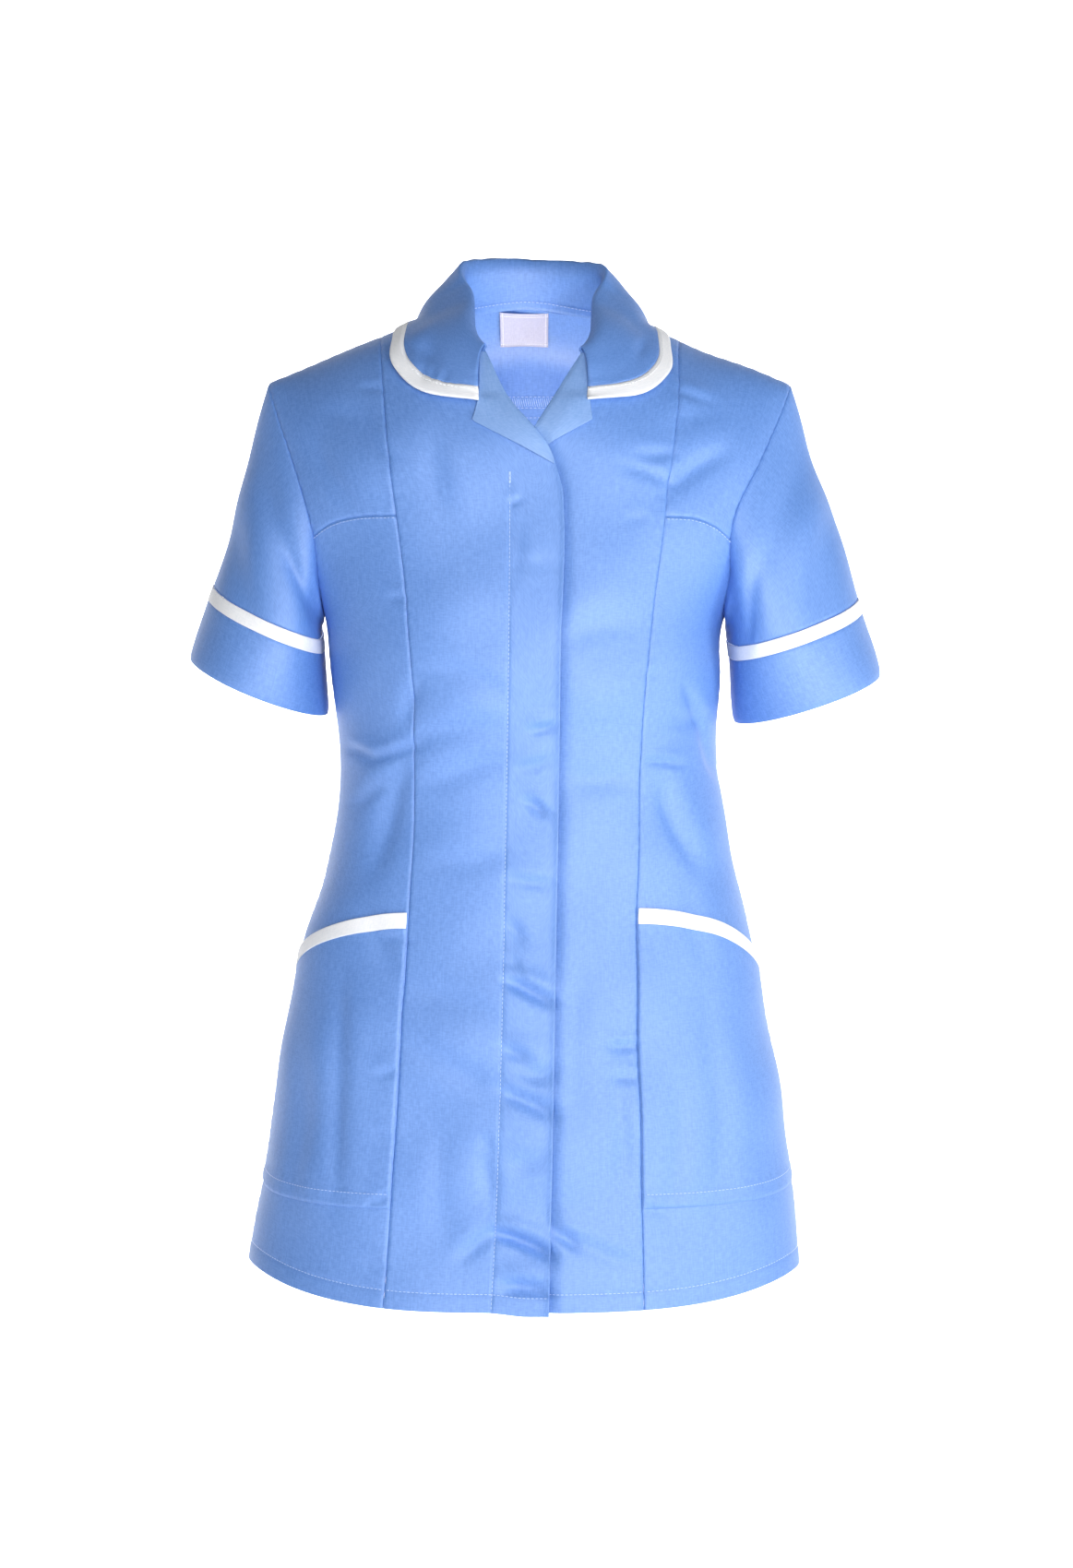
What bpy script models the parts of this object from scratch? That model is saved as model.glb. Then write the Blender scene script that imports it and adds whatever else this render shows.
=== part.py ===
"""A short-sleeved work tunic, hollow and upright as it is worn, with nobody in it.

Metres, +Z up. The wearer faces -Y, so +X is the wearer's left. The origin is in the middle of the
neck opening, level with the shoulder seams' neck ends. Each cut piece of cloth is one wall of its own.
"""

import math

import bmesh
import bpy
import numpy as np

COLLECTION = "work_tunic"

# Cloth, as modelled: walls are thicker than the cloth, so that they are sound solids.
WALL = 0.0015
TRIM_WALL = 0.0012
LABEL_WALL = 0.0010
SEAM_GAP = 0.0003
LAYER_GAP = 0.0005

# The body of the tunic: half width, lean to the wearer's left, and depth in front and behind.
BODY = (
    # z, half_width, lean, front_depth, back_depth
    (-0.720, 0.2050, -0.0045, 0.121, 0.113),
    (-0.600, 0.1875, -0.0020, 0.117, 0.110),
    (-0.521, 0.1752, 0.0000, 0.113, 0.105),
    (-0.462, 0.1643, -0.0003, 0.109, 0.099),
    (-0.405, 0.1492, 0.0012, 0.105, 0.092),
    (-0.353, 0.1390, 0.0005, 0.104, 0.088),
    (-0.312, 0.1367, 0.0000, 0.108, 0.090),
    (-0.262, 0.1412, -0.0020, 0.120, 0.099),
    (-0.215, 0.1465, -0.0038, 0.119, 0.106),
    (-0.185, 0.1610, -0.0030, 0.113, 0.106),
    (-0.150, 0.1770, -0.0010, 0.106, 0.104),
    (-0.100, 0.1910, 0.0005, 0.098, 0.101),
    (-0.049, 0.1980, 0.0010, 0.090, 0.097),
    (0.030, 0.2010, 0.0010, 0.082, 0.093),
)
Z, HALF_WIDTH, LEAN, FRONT_DEPTH, BACK_DEPTH = range(5)
SQUARENESS = 2.3  # exponent of the body's section: 2 is an ellipse, more is boxier

# The shoulder ridge, where front and back meet, and how high the rounding over it is.
RIDGE_TOP = 0.021
RIDGE_SLOPE = 0.42
RIDGE_SOFTNESS = 0.025
FRONT_ROUNDING = 0.12
BACK_ROUNDING = 0.05
SHOULDER_TIP_Z = -0.049
UNDERARM_Z = -0.215

# Armhole: how far round the body's section it lies, from the underarm up to the shoulder tip.
ARMHOLE = (
    # up, front_right, front_left, back
    (0.0, 90.0, 90.0, 90.0),
    (0.3, 71.5, 70.0, 74.5),
    (0.6, 59.5, 54.0, 67.0),
    (0.8, 63.0, 60.5, 68.0),
    (1.0, 71.4, 71.4, 71.4),
)
UP, ARM_FRONT_RIGHT, ARM_FRONT_LEFT, ARM_BACK = range(4)

# Seams down the front, as distances from the middle: princess seams, the lapped edge and the underlap.
PRINCESS_RIGHT = (
    (-0.720, -0.1022), (-0.618, -0.0957), (-0.559, -0.0918), (-0.453, -0.0863), (-0.386, -0.0824),
    (-0.313, -0.0804), (-0.221, -0.0851), (-0.148, -0.0932), (-0.123, -0.0963), (-0.071, -0.1020),
    (-0.016, -0.1065),
)
PRINCESS_LEFT = (
    (-0.720, 0.0815), (-0.641, 0.0801), (-0.500, 0.0769), (-0.386, 0.0775), (-0.300, 0.0801),
    (-0.225, 0.0875), (-0.151, 0.0959), (-0.119, 0.1004), (-0.078, 0.1059), (-0.016, 0.1100),
)
FLY_EDGE = (
    (-0.720, 0.0140), (-0.612, 0.0164), (-0.500, 0.0186), (-0.371, 0.0209), (-0.242, 0.0228),
    (-0.150, 0.0250), (-0.132, 0.0242), (-0.1124, 0.0190),
)
ROLL_RIGHT = ((-0.1124, 0.0190), (-0.0990, 0.0130), (-0.0862, 0.0030), (-0.0700, -0.0105), (-0.0300, -0.0306))
ROLL_LEFT = ((-0.1130, -0.0070), (-0.0990, -0.0025), (-0.0873, 0.0042), (-0.0665, 0.0170), (-0.0480, 0.0276), (-0.0306, 0.0380))
UNDERLAP_X = -0.012
UNDERLAP_DROP = 0.0022  # how far the under front lies behind the upper one
UNDERLAP_FROM = 0.024
UNDERLAP_TO = 0.038
UNDERLAP_LOW = -0.0900
UNDERLAP_HIGH = -0.0780

# Seams across.
HEM_MIDDLE = -0.7075
HEM_RISE = 0.0255
HEM_HALF_WIDTH = 0.2
HEM_POWER = 3.6
CHEST_SEAM = (
    # round (0 at the princess seam, 1 at the armhole), z_right, z_left
    (0.0, -0.1490, -0.1500),
    (0.4, -0.1495, -0.1510),
    (0.7, -0.1535, -0.1560),
    (1.0, -0.1620, -0.1650),
)
YOKE_SEAM_Z = -0.070
YOKE_SEAM_SAG = 0.006

# Neck opening, in plan: an ellipse, deeper in front.
NECK_X = 0.0032
NECK_HALF_WIDTH = 0.062
NECK_BACK = 0.048
NECK_FRONT = 0.080
NECK_END = math.radians(146.0)  # where the collar's front ends are, round from the back

# Collar: stand height, and how it falls; sides are measured from the back round to a front end.
COLLAR = (
    # round, stand, lean_in, edge_out_x, edge_y, edge_z
    (0.00, 0.0335, 0.0030, 0.0000, 0.098, -0.0300),
    (0.22, 0.0385, 0.0030, 0.0480, 0.090, -0.0300),
    (0.32, 0.0395, 0.0010, 0.0660, 0.076, -0.0270),
    (0.42, 0.0380, 0.0005, 0.0790, 0.056, -0.0230),
    (0.56, 0.0275, 0.0100, 0.0860, 0.010, -0.0140),
    (0.70, 0.0160, 0.0165, 0.0975, -0.026, -0.0310),
    (0.82, 0.0070, 0.0085, 0.0965, -0.050, -0.0525),
    (0.92, 0.0040, 0.0020, 0.0720, -0.072, -0.0675),
    (1.00, 0.0030, 0.0010, 0.0370, -0.083, -0.0710),
)
ROUND, STAND, LEAN_IN, EDGE_OUT, EDGE_Y, EDGE_Z = range(6)
ROLL_RADIUS = 0.0028
STAND_IN = 0.0012  # the stand's foot lies this far on and over the neck seam
FALL_FULLNESS = 0.004
COLLAR_LIFT = 0.0013  # the collar's underside over the panels
TOP_SHARE = 0.9  # how much of the section's depth counts as the shoulder's top
BINDING = 0.0105

# Reveres: the turned-out front corners. Each row is a point of the free edge, from the collar's end.
REVERE_RIGHT_EDGE = ((-0.0302, -0.0306), (-0.0324, -0.0646), (-0.0398, -0.0822), (0.0182, -0.1136))
REVERE_LEFT_EDGE = ((0.0377, -0.0312), (0.0394, -0.0636), (0.0447, -0.0826), (0.0155, -0.0998))
REVERE_INSET = 0.0004  # how far the revere stops short of the roll line
REVERE_LEFT_LOW = -0.0862  # where the left revere's roll passes under the right front

# Pockets, from the princess seam to the side seam.
POCKET_TOP = -0.4400
POCKET_TOP_DROP = {-1: 0.0340, 1: 0.0500}
POCKET_CURVE = 1.7
POCKET_BOTTOM = -0.6360
POCKET_BOTTOM_RISE = 0.0140
POCKET_TRIM = 0.0110
POCKET_INSET = 0.0008

# Sleeves, each a tube from its armhole to a tilted hem ring.
SLEEVES = {
    # side: x and z of the hem ring's middle, half width, half depth, lean in degrees, cuff depth
    "right": (-0.1950, -0.2668, 0.0525, 0.060, 22.7, 0.0450),
    "left": (0.2018, -0.2758, 0.0555, 0.060, 18.7, 0.0470),
}
SLEEVE_TILT = math.radians(9.0)
SLEEVE_FULLNESS = 0.007
SLEEVE_BLEND = 0.25  # share of the sleeve over which its wall turns from the body's to its own
SLEEVE_TRIM = 0.0100

# Label, sewn inside the back neck.
LABEL_LEFT = -0.022
LABEL_RIGHT = 0.015
LABEL_TOP = 0.0115
LABEL_HEIGHT = 0.0208
LABEL_GAP = 0.0012
LABEL_HANG = 0.0012  # how much further its lower edge stands off the yoke

# Colours, linear.
BLUE = (0.156, 0.328, 0.753, 1.0)
FACING_BLUE = (0.246, 0.423, 0.855, 1.0)
WHITE = (0.87, 0.89, 0.95, 1.0)
LABEL_GREY = (0.69, 0.70, 0.87, 1.0)
CLOTH_ROUGHNESS = 0.85

SECTION_POWER = 2.0 / SQUARENESS


# ---------------------------------------------------------------- curves


def column(table, index):
    return np.array([row[index] for row in table])


def smooth(xs, ys, at):
    """A smooth curve through the points xs, ys (xs rising), read at an array of places."""
    at = np.clip(np.asarray(at, float), xs[0], xs[-1])
    steps = np.diff(xs)
    slopes = np.diff(ys) / steps
    tangents = np.empty(len(xs))
    tangents[0], tangents[-1] = slopes[0], slopes[-1]
    tangents[1:-1] = (slopes[:-1] * steps[1:] + slopes[1:] * steps[:-1]) / (steps[1:] + steps[:-1])
    cell = np.clip(np.searchsorted(xs, at, "right") - 1, 0, len(xs) - 2)
    width = steps[cell]
    t = (at - xs[cell]) / width
    start = (1 + 2 * t) * (1 - t) ** 2 * ys[cell] + t * (1 - t) ** 2 * width * tangents[cell]
    end = t * t * (3 - 2 * t) * ys[cell + 1] + t * t * (t - 1) * width * tangents[cell + 1]
    return start + end


def read(table, index, at):
    return smooth(column(table, 0), column(table, index), at)


def ease(t):
    t = np.clip(t, 0.0, 1.0)
    return t * t * (3 - 2 * t)


def power(base, exponent):
    return np.sign(base) * np.abs(base) ** exponent


def unit(vectors):
    return vectors / np.maximum(np.linalg.norm(vectors, axis=-1, keepdims=True), 1e-12)


# ---------------------------------------------------------------- the body's surface


def ridge(x):
    """Height of the shoulder ridge over a place across the body."""
    return RIDGE_TOP - RIDGE_SLOPE * (np.hypot(x, RIDGE_SOFTNESS) - RIDGE_SOFTNESS)


def ridge_fall(x):
    return -RIDGE_SLOPE * x / np.hypot(x, RIDGE_SOFTNESS)


def rounding(side):
    return FRONT_ROUNDING if side < 0 else BACK_ROUNDING


def depth_column(side):
    return FRONT_DEPTH if side < 0 else BACK_DEPTH


def over_the_top(x, z, side):
    """From 0 on the ridge to 1 where the shoulder's rounding ends, and how steep it is there."""
    below = np.clip(1 - np.maximum(ridge(x) - z, 0) / rounding(side), 0.0, 1.0)
    return np.sqrt(np.maximum(1 - below**2, 0)), below


def body_section(x, z, side):
    """Depth of the body's section, in front (side -1) or behind (side 1), without the shoulder's rounding."""
    across = np.abs(x - read(BODY, LEAN, z)) / read(BODY, HALF_WIDTH, z)
    section = np.maximum(1 - np.minimum(across, 1.0) ** SQUARENESS, 0) ** (1 / SQUARENESS)
    return read(BODY, depth_column(side), z) * section


def body_depth(x, z, side):
    """How far the body's surface is from the plane y = 0, in front or behind."""
    return body_section(x, z, side) * over_the_top(x, z, side)[0]


def body_point(x, z, side):
    y = side * (body_depth(x, z, side) + SEAM_GAP / 2)
    return np.stack([x, y, z], axis=-1)


def body_normal(x, z, side):
    """The outward normal, from the gradient of the body's own equation."""
    step = 0.002
    half, lean = read(BODY, HALF_WIDTH, z), read(BODY, LEAN, z)
    depth = read(BODY, depth_column(side), z)
    half_z = (read(BODY, HALF_WIDTH, z + step) - read(BODY, HALF_WIDTH, z - step)) / (2 * step)
    depth_z = (read(BODY, depth_column(side), z + step) - read(BODY, depth_column(side), z - step)) / (
        2 * step
    )
    top, below = over_the_top(x, z, side)
    across = np.clip((x - lean) / half, -1.0, 1.0)
    out = np.maximum(1 - np.abs(across) ** SQUARENESS, 0) ** (1 / SQUARENESS)
    outer = out**SQUARENESS
    grad_x = power(across, SQUARENESS - 1) / half * top**2 - outer * below / rounding(side) * ridge_fall(x)
    grad_y = side * out ** (SQUARENESS - 1) / depth * top
    grad_z = (
        outer * below / rounding(side)
        - np.abs(across) ** SQUARENESS * half_z / half * top**2
        - outer * depth_z / depth * top**2
    )
    return unit(np.stack([grad_x, grad_y, grad_z], axis=-1))


def angle_of(x, z):
    """Where a place across the body lies round its section, from the middle to a side."""
    across = np.clip((x - read(BODY, LEAN, z)) / read(BODY, HALF_WIDTH, z), -1.0, 1.0)
    return np.arcsin(power(across, 1 / SECTION_POWER))


def across_at(angle, z):
    return read(BODY, LEAN, z) + read(BODY, HALF_WIDTH, z) * power(np.sin(angle), SECTION_POWER)


# ---------------------------------------------------------------- seams


def hem_z(x):
    return HEM_MIDDLE + HEM_RISE * (np.abs(x) / HEM_HALF_WIDTH) ** HEM_POWER


def armhole_up(z):
    share = np.clip((z - UNDERARM_Z) / (SHOULDER_TIP_Z - UNDERARM_Z), 0.0, 1.0)
    return np.arccos(1 - share) * 2 / math.pi


def armhole_z(up):
    return UNDERARM_Z + (SHOULDER_TIP_Z - UNDERARM_Z) * (1 - np.cos(up * math.pi / 2))


def outer_angle(z, side, hand):
    """The edge of the body's cloth, round its section: the side seam, then the armhole."""
    if side > 0:
        index = ARM_BACK
    else:
        index = ARM_FRONT_LEFT if hand > 0 else ARM_FRONT_RIGHT
    return hand * np.radians(read(ARMHOLE, index, armhole_up(z)))


def neck_curve(turn, hand):
    """x and z of the neck seam, by the turn from the middle of the back to a front end."""
    x = NECK_X + hand * NECK_HALF_WIDTH * np.sin(turn)
    along = np.cos(turn)
    z = ridge(x)
    for side, reach in ((1, NECK_BACK), (-1, NECK_FRONT)):
        here = along * side > 0
        height = ridge(x)
        for _ in range(6):
            share = np.minimum(reach * np.abs(along) / body_section(x, height, side), 0.999)
            height = ridge(x) - rounding(side) * (1 - np.sqrt(1 - share**2))
        z = np.where(here, height, z)
    return x, z


def neck_table(side_sign, start, end, count=40):
    turns = np.linspace(start, end, count)
    return neck_curve(turns, side_sign)


def front_edge(hand):
    """The front's free edge as x by z: up the lap, up the roll line and round the neck seam."""
    if hand < 0:
        lap = [FLY_EDGE[:-1], ROLL_RIGHT]
    else:
        lap = [((-0.720, UNDERLAP_X), (-0.122, UNDERLAP_X)), ROLL_LEFT]
    heights, places = [], []
    for table in lap:
        xs = column(table, 0)
        fine = np.linspace(xs[0], xs[-1], 40)
        heights.append(fine)
        places.append(read(table, 1, fine))
    x, z = neck_table(hand, NECK_END, math.pi / 2)
    keep = z > heights[-1][-1] + 0.0005
    heights.append(z[keep])
    places.append(x[keep])
    return np.concatenate(heights), np.concatenate(places)


EDGE_RIGHT = front_edge(-1)
EDGE_LEFT = front_edge(1)


def front_edge_x(z, hand):
    heights, places = EDGE_LEFT if hand > 0 else EDGE_RIGHT
    return np.interp(z, heights, places)


def princess_x(z, hand):
    return read(PRINCESS_LEFT if hand > 0 else PRINCESS_RIGHT, 1, z)


def chest_z(round_it, hand):
    return read(CHEST_SEAM, 2 if hand > 0 else 1, round_it)


def yoke_seam_z(x):
    return YOKE_SEAM_Z - YOKE_SEAM_SAG * (1 - (x / 0.18) ** 2)


def back_neck_z(x):
    places, heights = neck_table(1, -math.pi / 2, math.pi / 2, 81)
    order = np.argsort(places)
    inside = np.interp(x, places[order], heights[order])
    return np.where(np.abs(x - NECK_X) < NECK_HALF_WIDTH, inside, ridge(x))


# ---------------------------------------------------------------- panels


def settle(x_at, z_at, start):
    """Where an edge that gives x by height meets one that gives height by x."""
    z = start
    for _ in range(60):
        z = 0.5 * z + 0.5 * z_at(x_at(z))
    return z


def straight_rows(v, low, high):
    return low + (high - low) * v


def rounded_rows(v, low, high):
    """Rows that close up towards the shoulder ridge."""
    return high - (high - low) * (1 - np.cos((1 - v) * math.pi / 2))


def knee_rows(share, knee_height):
    """Even rows, and from the knee up rows that close up towards the shoulder ridge."""

    def rows(v, low, high):
        knee = high - knee_height
        upper = high - knee_height * (1 - np.cos((1 - v) / (1 - share) * math.pi / 2))
        return np.where(v < share, low + (knee - low) * v / share, upper)

    return rows


def underarm_rows(share):
    """Even rows up to the underarm, and from there rows that open out from it."""

    def rows(v, low, high):
        reach = armhole_up(high)
        upper = armhole_z(reach * np.clip((v - share) / (1 - share), 0, 1))
        return np.where(v < share, low + (UNDERARM_Z - low) * v / share, upper)

    return rows


def panel(side, left, right, bottom, top, rows, sink=None):
    """A stretch of the body between two upright seams and two cross seams, by (u, v) from 0 to 1."""

    def place(u, v):
        def x_at(z):
            return across_at(left(z) * (1 - u) + right(z) * u, z)

        low = settle(x_at, lambda x: bottom(x, u), np.full_like(u, -0.6))
        high = settle(x_at, lambda x: top(x, u), np.full_like(u, -0.05))
        z = rows(v, low, high)
        x = x_at(z)
        normal = body_normal(x, z, side)
        point = body_point(x, z, side)
        if sink is not None:
            point = point - normal * sink(x, z)[..., None]
        return point, normal

    return place


def seam_angle(x_of_z, shift=0.0):
    return lambda z: angle_of(x_of_z(z) + shift, z)


def under_front(x, z):
    """How far the under front lies behind the upper one, near and under the lap."""
    across = ease((UNDERLAP_TO - x) / (UNDERLAP_TO - UNDERLAP_FROM))
    return UNDERLAP_DROP * across * ease((UNDERLAP_HIGH - z) / (UNDERLAP_HIGH - UNDERLAP_LOW))


def front_centre(hand):
    gap = SEAM_GAP / 2
    princess = seam_angle(lambda z: princess_x(z, hand), -hand * gap)
    edge = seam_angle(lambda z: front_edge_x(z, hand))
    return panel(
        -1,
        princess,
        edge,
        lambda x, u: hem_z(x),
        lambda x, u: ridge(x),
        knee_rows(0.62, 0.11),
        under_front if hand > 0 else None,
    )


def side_front_lower(hand):
    princess = seam_angle(lambda z: princess_x(z, hand), hand * SEAM_GAP / 2)
    return panel(
        -1,
        lambda z: outer_angle(z, -1, hand),
        princess,
        lambda x, u: hem_z(x),
        lambda x, u: chest_z(1 - u, hand) - SEAM_GAP / 2,
        underarm_rows(LOWER_KNEE),
    )


def side_front_upper(hand):
    princess = seam_angle(lambda z: princess_x(z, hand), hand * SEAM_GAP / 2)
    return panel(
        -1,
        lambda z: outer_angle(z, -1, hand),
        princess,
        lambda x, u: chest_z(1 - u, hand) + SEAM_GAP / 2,
        lambda x, u: ridge(x),
        rounded_rows,
    )


def back_panel():
    return panel(
        1,
        lambda z: outer_angle(z, 1, -1),
        lambda z: outer_angle(z, 1, 1),
        lambda x, u: hem_z(x),
        lambda x, u: yoke_seam_z(x) - SEAM_GAP / 2,
        underarm_rows(BACK_KNEE),
    )


def back_yoke():
    return panel(
        1,
        lambda z: outer_angle(z, 1, -1),
        lambda z: outer_angle(z, 1, 1),
        lambda x, u: yoke_seam_z(x) + SEAM_GAP / 2,
        lambda x, u: back_neck_z(x),
        rounded_rows,
    )


LOWER_KNEE = 0.68
BACK_KNEE = 0.60
# Cells across and up each piece.
CENTRE_GRID = (7, 30)
LOWER_GRID = (9, 22)
UPPER_GRID = (9, 9)
BACK_GRID = (24, 22)
YOKE_GRID = (24, 9)
SLEEVE_ROWS = 7
CUFF_ROWS = 2
POCKET_ROWS = 9
REVERE_GRID = (4, 9)
COLLAR_GRID = (36, 12)


# ---------------------------------------------------------------- sleeves


def armhole(hand):
    """The armhole's points and normals, from the shoulder tip down the front and up the back."""
    u_back = 0.0 if hand < 0 else 1.0
    lower = np.linspace(LOWER_KNEE, 1, round((1 - LOWER_KNEE) * LOWER_GRID[1]) + 1)
    upper = np.linspace(0, 1, UPPER_GRID[1] + 1)
    back = np.linspace(BACK_KNEE, 1, round((1 - BACK_KNEE) * BACK_GRID[1]) + 1)
    yoke = np.linspace(0, 1, YOKE_GRID[1] + 1)
    stretches = [
        (side_front_upper(hand), 0.0, upper[::-1]),
        (side_front_lower(hand), 0.0, lower[::-1]),
        (back_panel(), u_back, back),
        (back_yoke(), u_back, yoke),
    ]
    points, normals = [], []
    for place, u, vs in stretches:
        point, normal = place(np.full_like(vs, u), vs)
        points.append(point)
        normals.append(normal)
    front = np.concatenate([points[0], points[1][1:]])
    front_n = np.concatenate([normals[0], normals[1][1:]])
    behind = np.concatenate([points[2], points[3][1:]])
    behind_n = np.concatenate([normals[2], normals[3][1:]])
    return (front, front_n), (behind, behind_n)


def arc_share(points):
    steps = np.linalg.norm(np.diff(points, axis=0), axis=1)
    return np.concatenate([[0], np.cumsum(steps)]) / steps.sum()


def armhole_loop(hand):
    """One closed ring of armhole points, with each one's turn, its normal and its way out."""
    (front, front_n), (behind, behind_n) = armhole(hand)
    turns = np.concatenate([arc_share(front) * math.pi, math.pi + arc_share(behind)[1:-1] * math.pi])
    points = np.concatenate([front, behind[1:-1]])
    normals = np.concatenate([front_n, behind_n[1:-1]])
    for tip in (0, len(front) - 1):
        points[tip, 1] = 0.0
    along = unit(np.roll(points, -1, axis=0) - np.roll(points, 1, axis=0))
    out = unit(np.cross(along, normals)) * hand
    flip = np.sign((out[:, 0] * hand).sum())
    return turns, points, normals, out * flip


def sleeve_surface(hand):
    """The sleeve by (ring index, distance above the hem), its own normals, and its ring's turns."""
    turns, start, body_n, out = armhole_loop(hand)
    x, z, half_width, half_depth, lean, _ = SLEEVES["left" if hand > 0 else "right"]
    lean = math.radians(lean)
    outward = np.array([hand * math.cos(lean), 0.0, math.sin(lean)])
    down = np.array([hand * math.sin(lean), 0.0, -math.cos(lean)])
    forward = np.array([0.0, -math.cos(SLEEVE_TILT), 0.0]) + down * math.sin(SLEEVE_TILT)
    ring = (
        np.array([x, 0.0, z])
        + half_width * np.cos(turns)[:, None] * outward
        + half_depth * np.sin(turns)[:, None] * forward
    )
    start = start + out * SEAM_GAP
    length = np.linalg.norm(ring - start, axis=1)
    own = unit(np.cos(turns)[:, None] * outward / half_width + np.sin(turns)[:, None] * forward / half_depth)

    def place(index, above):
        share = np.clip(1 - above / length[index], 0, 1)
        full = SLEEVE_FULLNESS * np.sin(turns[index]) ** 2 * np.sin(math.pi * share)
        blend = ease(share / SLEEVE_BLEND)[:, None]
        normal = unit(body_n[index] * (1 - blend) + own[index] * blend)
        point = start[index] * (1 - share[:, None]) + ring[index] * share[:, None]
        return point + own[index] * full[:, None], normal

    return place, len(turns), length


# ---------------------------------------------------------------- collar


def collar_controls(around):
    """Points of the collar's section at each place round it (-1 to 1), from the neck seam to its edge."""
    round_it = np.abs(around)
    hand = np.where(around < 0, -1, 1)
    turn = round_it * NECK_END
    x, z = neck_curve(turn, hand)
    behind = np.cos(turn) > 0
    y = np.where(behind, body_depth(x, z, 1), -body_depth(x, z, -1))
    base = np.stack([x, y, z], axis=-1)
    outward = unit(np.stack([hand * np.sin(turn), np.cos(turn), 0 * turn], axis=-1))
    up = np.array([0.0, 0.0, 1.0])
    edge = np.stack(
        [
            NECK_X + hand * read(COLLAR, EDGE_OUT, round_it),
            read(COLLAR, EDGE_Y, round_it),
            read(COLLAR, EDGE_Z, round_it),
        ],
        axis=-1,
    )
    foot = base + outward * STAND_IN + up * STAND_IN
    roll = base + up * read(COLLAR, STAND, round_it)[:, None]
    roll = roll - outward * read(COLLAR, LEAN_IN, round_it)[:, None]
    inner = roll - outward * ROLL_RADIUS * 0.9 - up * ROLL_RADIUS
    outer = roll + outward * ROLL_RADIUS * 1.1 - up * ROLL_RADIUS
    return np.stack([foot, inner, roll, outer, 0.5 * (outer + edge) + (outward + up) * FALL_FULLNESS, edge])


def height_over_body(points, side):
    """Distance of points from the body's cloth in front or behind, and the way out of it."""
    x, y, z = (points[..., i] for i in range(3))
    share = np.abs(y) / np.maximum(body_section(x, np.minimum(z, ridge(x)), side), 1e-6)
    on_top = ridge(x) - rounding(side) * (1 - np.sqrt(1 - np.minimum(share, TOP_SHARE) ** 2))
    from_top = share < TOP_SHARE
    normal = body_normal(x, np.where(from_top, on_top, np.minimum(z, ridge(x))), side)
    beside = (np.abs(y) - body_depth(x, np.minimum(z, ridge(x)), side)) * np.abs(normal[..., 1])
    return np.where(from_top, (z - on_top) * normal[..., 2], beside), normal


def clear_of_body(points, lift):
    """Moves points that are nearer the body's cloth than the lift straight out to it."""
    for _ in range(8):
        for side in (-1, 1):
            height, normal = height_over_body(points, side)
            here = (points[..., 1] * side > -0.0005) & (height < lift)
            points = np.where(here[..., None], points + normal * (lift - height)[..., None], points)
    return points


def collar_grid(around, from_edge, to_edge, rows):
    """The collar's middle surface between two distances from its outer edge; None is the neck seam."""
    controls = collar_controls(around)
    lengths = np.linalg.norm(np.diff(controls, axis=0), axis=2)
    knots = np.concatenate([np.zeros((1, len(around))), np.cumsum(lengths, axis=0)])
    grid = np.empty((len(around), rows, 3))
    for i in range(len(around)):
        start = 0.0 if from_edge is None else knots[-1, i] - from_edge
        end = knots[-1, i] - to_edge
        at = np.linspace(start, end, rows)
        for axis in range(3):
            grid[i, :, axis] = smooth(knots[:, i], controls[:, i, axis], at)
        fall = at > knots[3, i]
        lifted = clear_of_body(grid[i], COLLAR_LIFT + WALL / 2)
        grid[i] = np.where(fall[:, None], lifted, grid[i])
    return grid


def grid_normals(grid):
    across = np.gradient(grid, axis=0)
    along = np.gradient(grid, axis=1)
    return unit(np.cross(across, along))


# ---------------------------------------------------------------- making a wall


def material(name, colour):
    made = bpy.data.materials.new(name)
    made.use_nodes = True
    shader = made.node_tree.nodes["Principled BSDF"]
    shader.inputs["Base Color"].default_value = colour
    shader.inputs["Roughness"].default_value = CLOTH_ROUGHNESS
    shader.inputs["Metallic"].default_value = 0.0
    return made


def grid_wall(name, inner, outer, colour, closed=False):
    """One closed wall between two grids of points. A closed one joins its last column to its first."""
    columns, rows = inner.shape[:2]
    cells = columns if closed else columns - 1
    bm = bmesh.new()
    column_of = bm.verts.layers.int.new("column")
    row_of = bm.verts.layers.int.new("row")
    bmesh.ops.create_grid(bm, x_segments=cells, y_segments=rows - 1, size=1.0)
    for vert in bm.verts:
        vert[column_of] = round((vert.co.x + 1) / 2 * cells) % columns
        vert[row_of] = round((vert.co.y + 1) / 2 * (rows - 1))
        vert.co = inner[vert[column_of], vert[row_of]]
    if closed:
        bmesh.ops.remove_doubles(bm, verts=bm.verts, dist=1e-6)
    raised = bmesh.ops.extrude_face_region(bm, geom=bm.faces[:], use_keep_orig=True)
    for vert in raised["geom"]:
        if isinstance(vert, bmesh.types.BMVert):
            vert.co = outer[vert[column_of], vert[row_of]]
    bmesh.ops.recalc_face_normals(bm, faces=bm.faces)
    mesh = bpy.data.meshes.new(name)
    bm.to_mesh(mesh)
    bm.free()
    mesh.shade_smooth()
    mesh.materials.append(material(name + "_cloth", colour))
    thing = bpy.data.objects.new(name, mesh)
    bpy.data.collections[COLLECTION].objects.link(thing)
    return thing


def body_wall(name, place, us, vs, low, high, colour):
    """A wall on the body's surface, from one distance off it to another."""
    u, v = np.meshgrid(us, vs, indexing="ij")
    point, normal = place(u, v)
    return grid_wall(name, point + normal * low, point + normal * high, colour)


def even(cells):
    return np.linspace(0, 1, cells + 1)


# ---------------------------------------------------------------- the pieces


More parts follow.
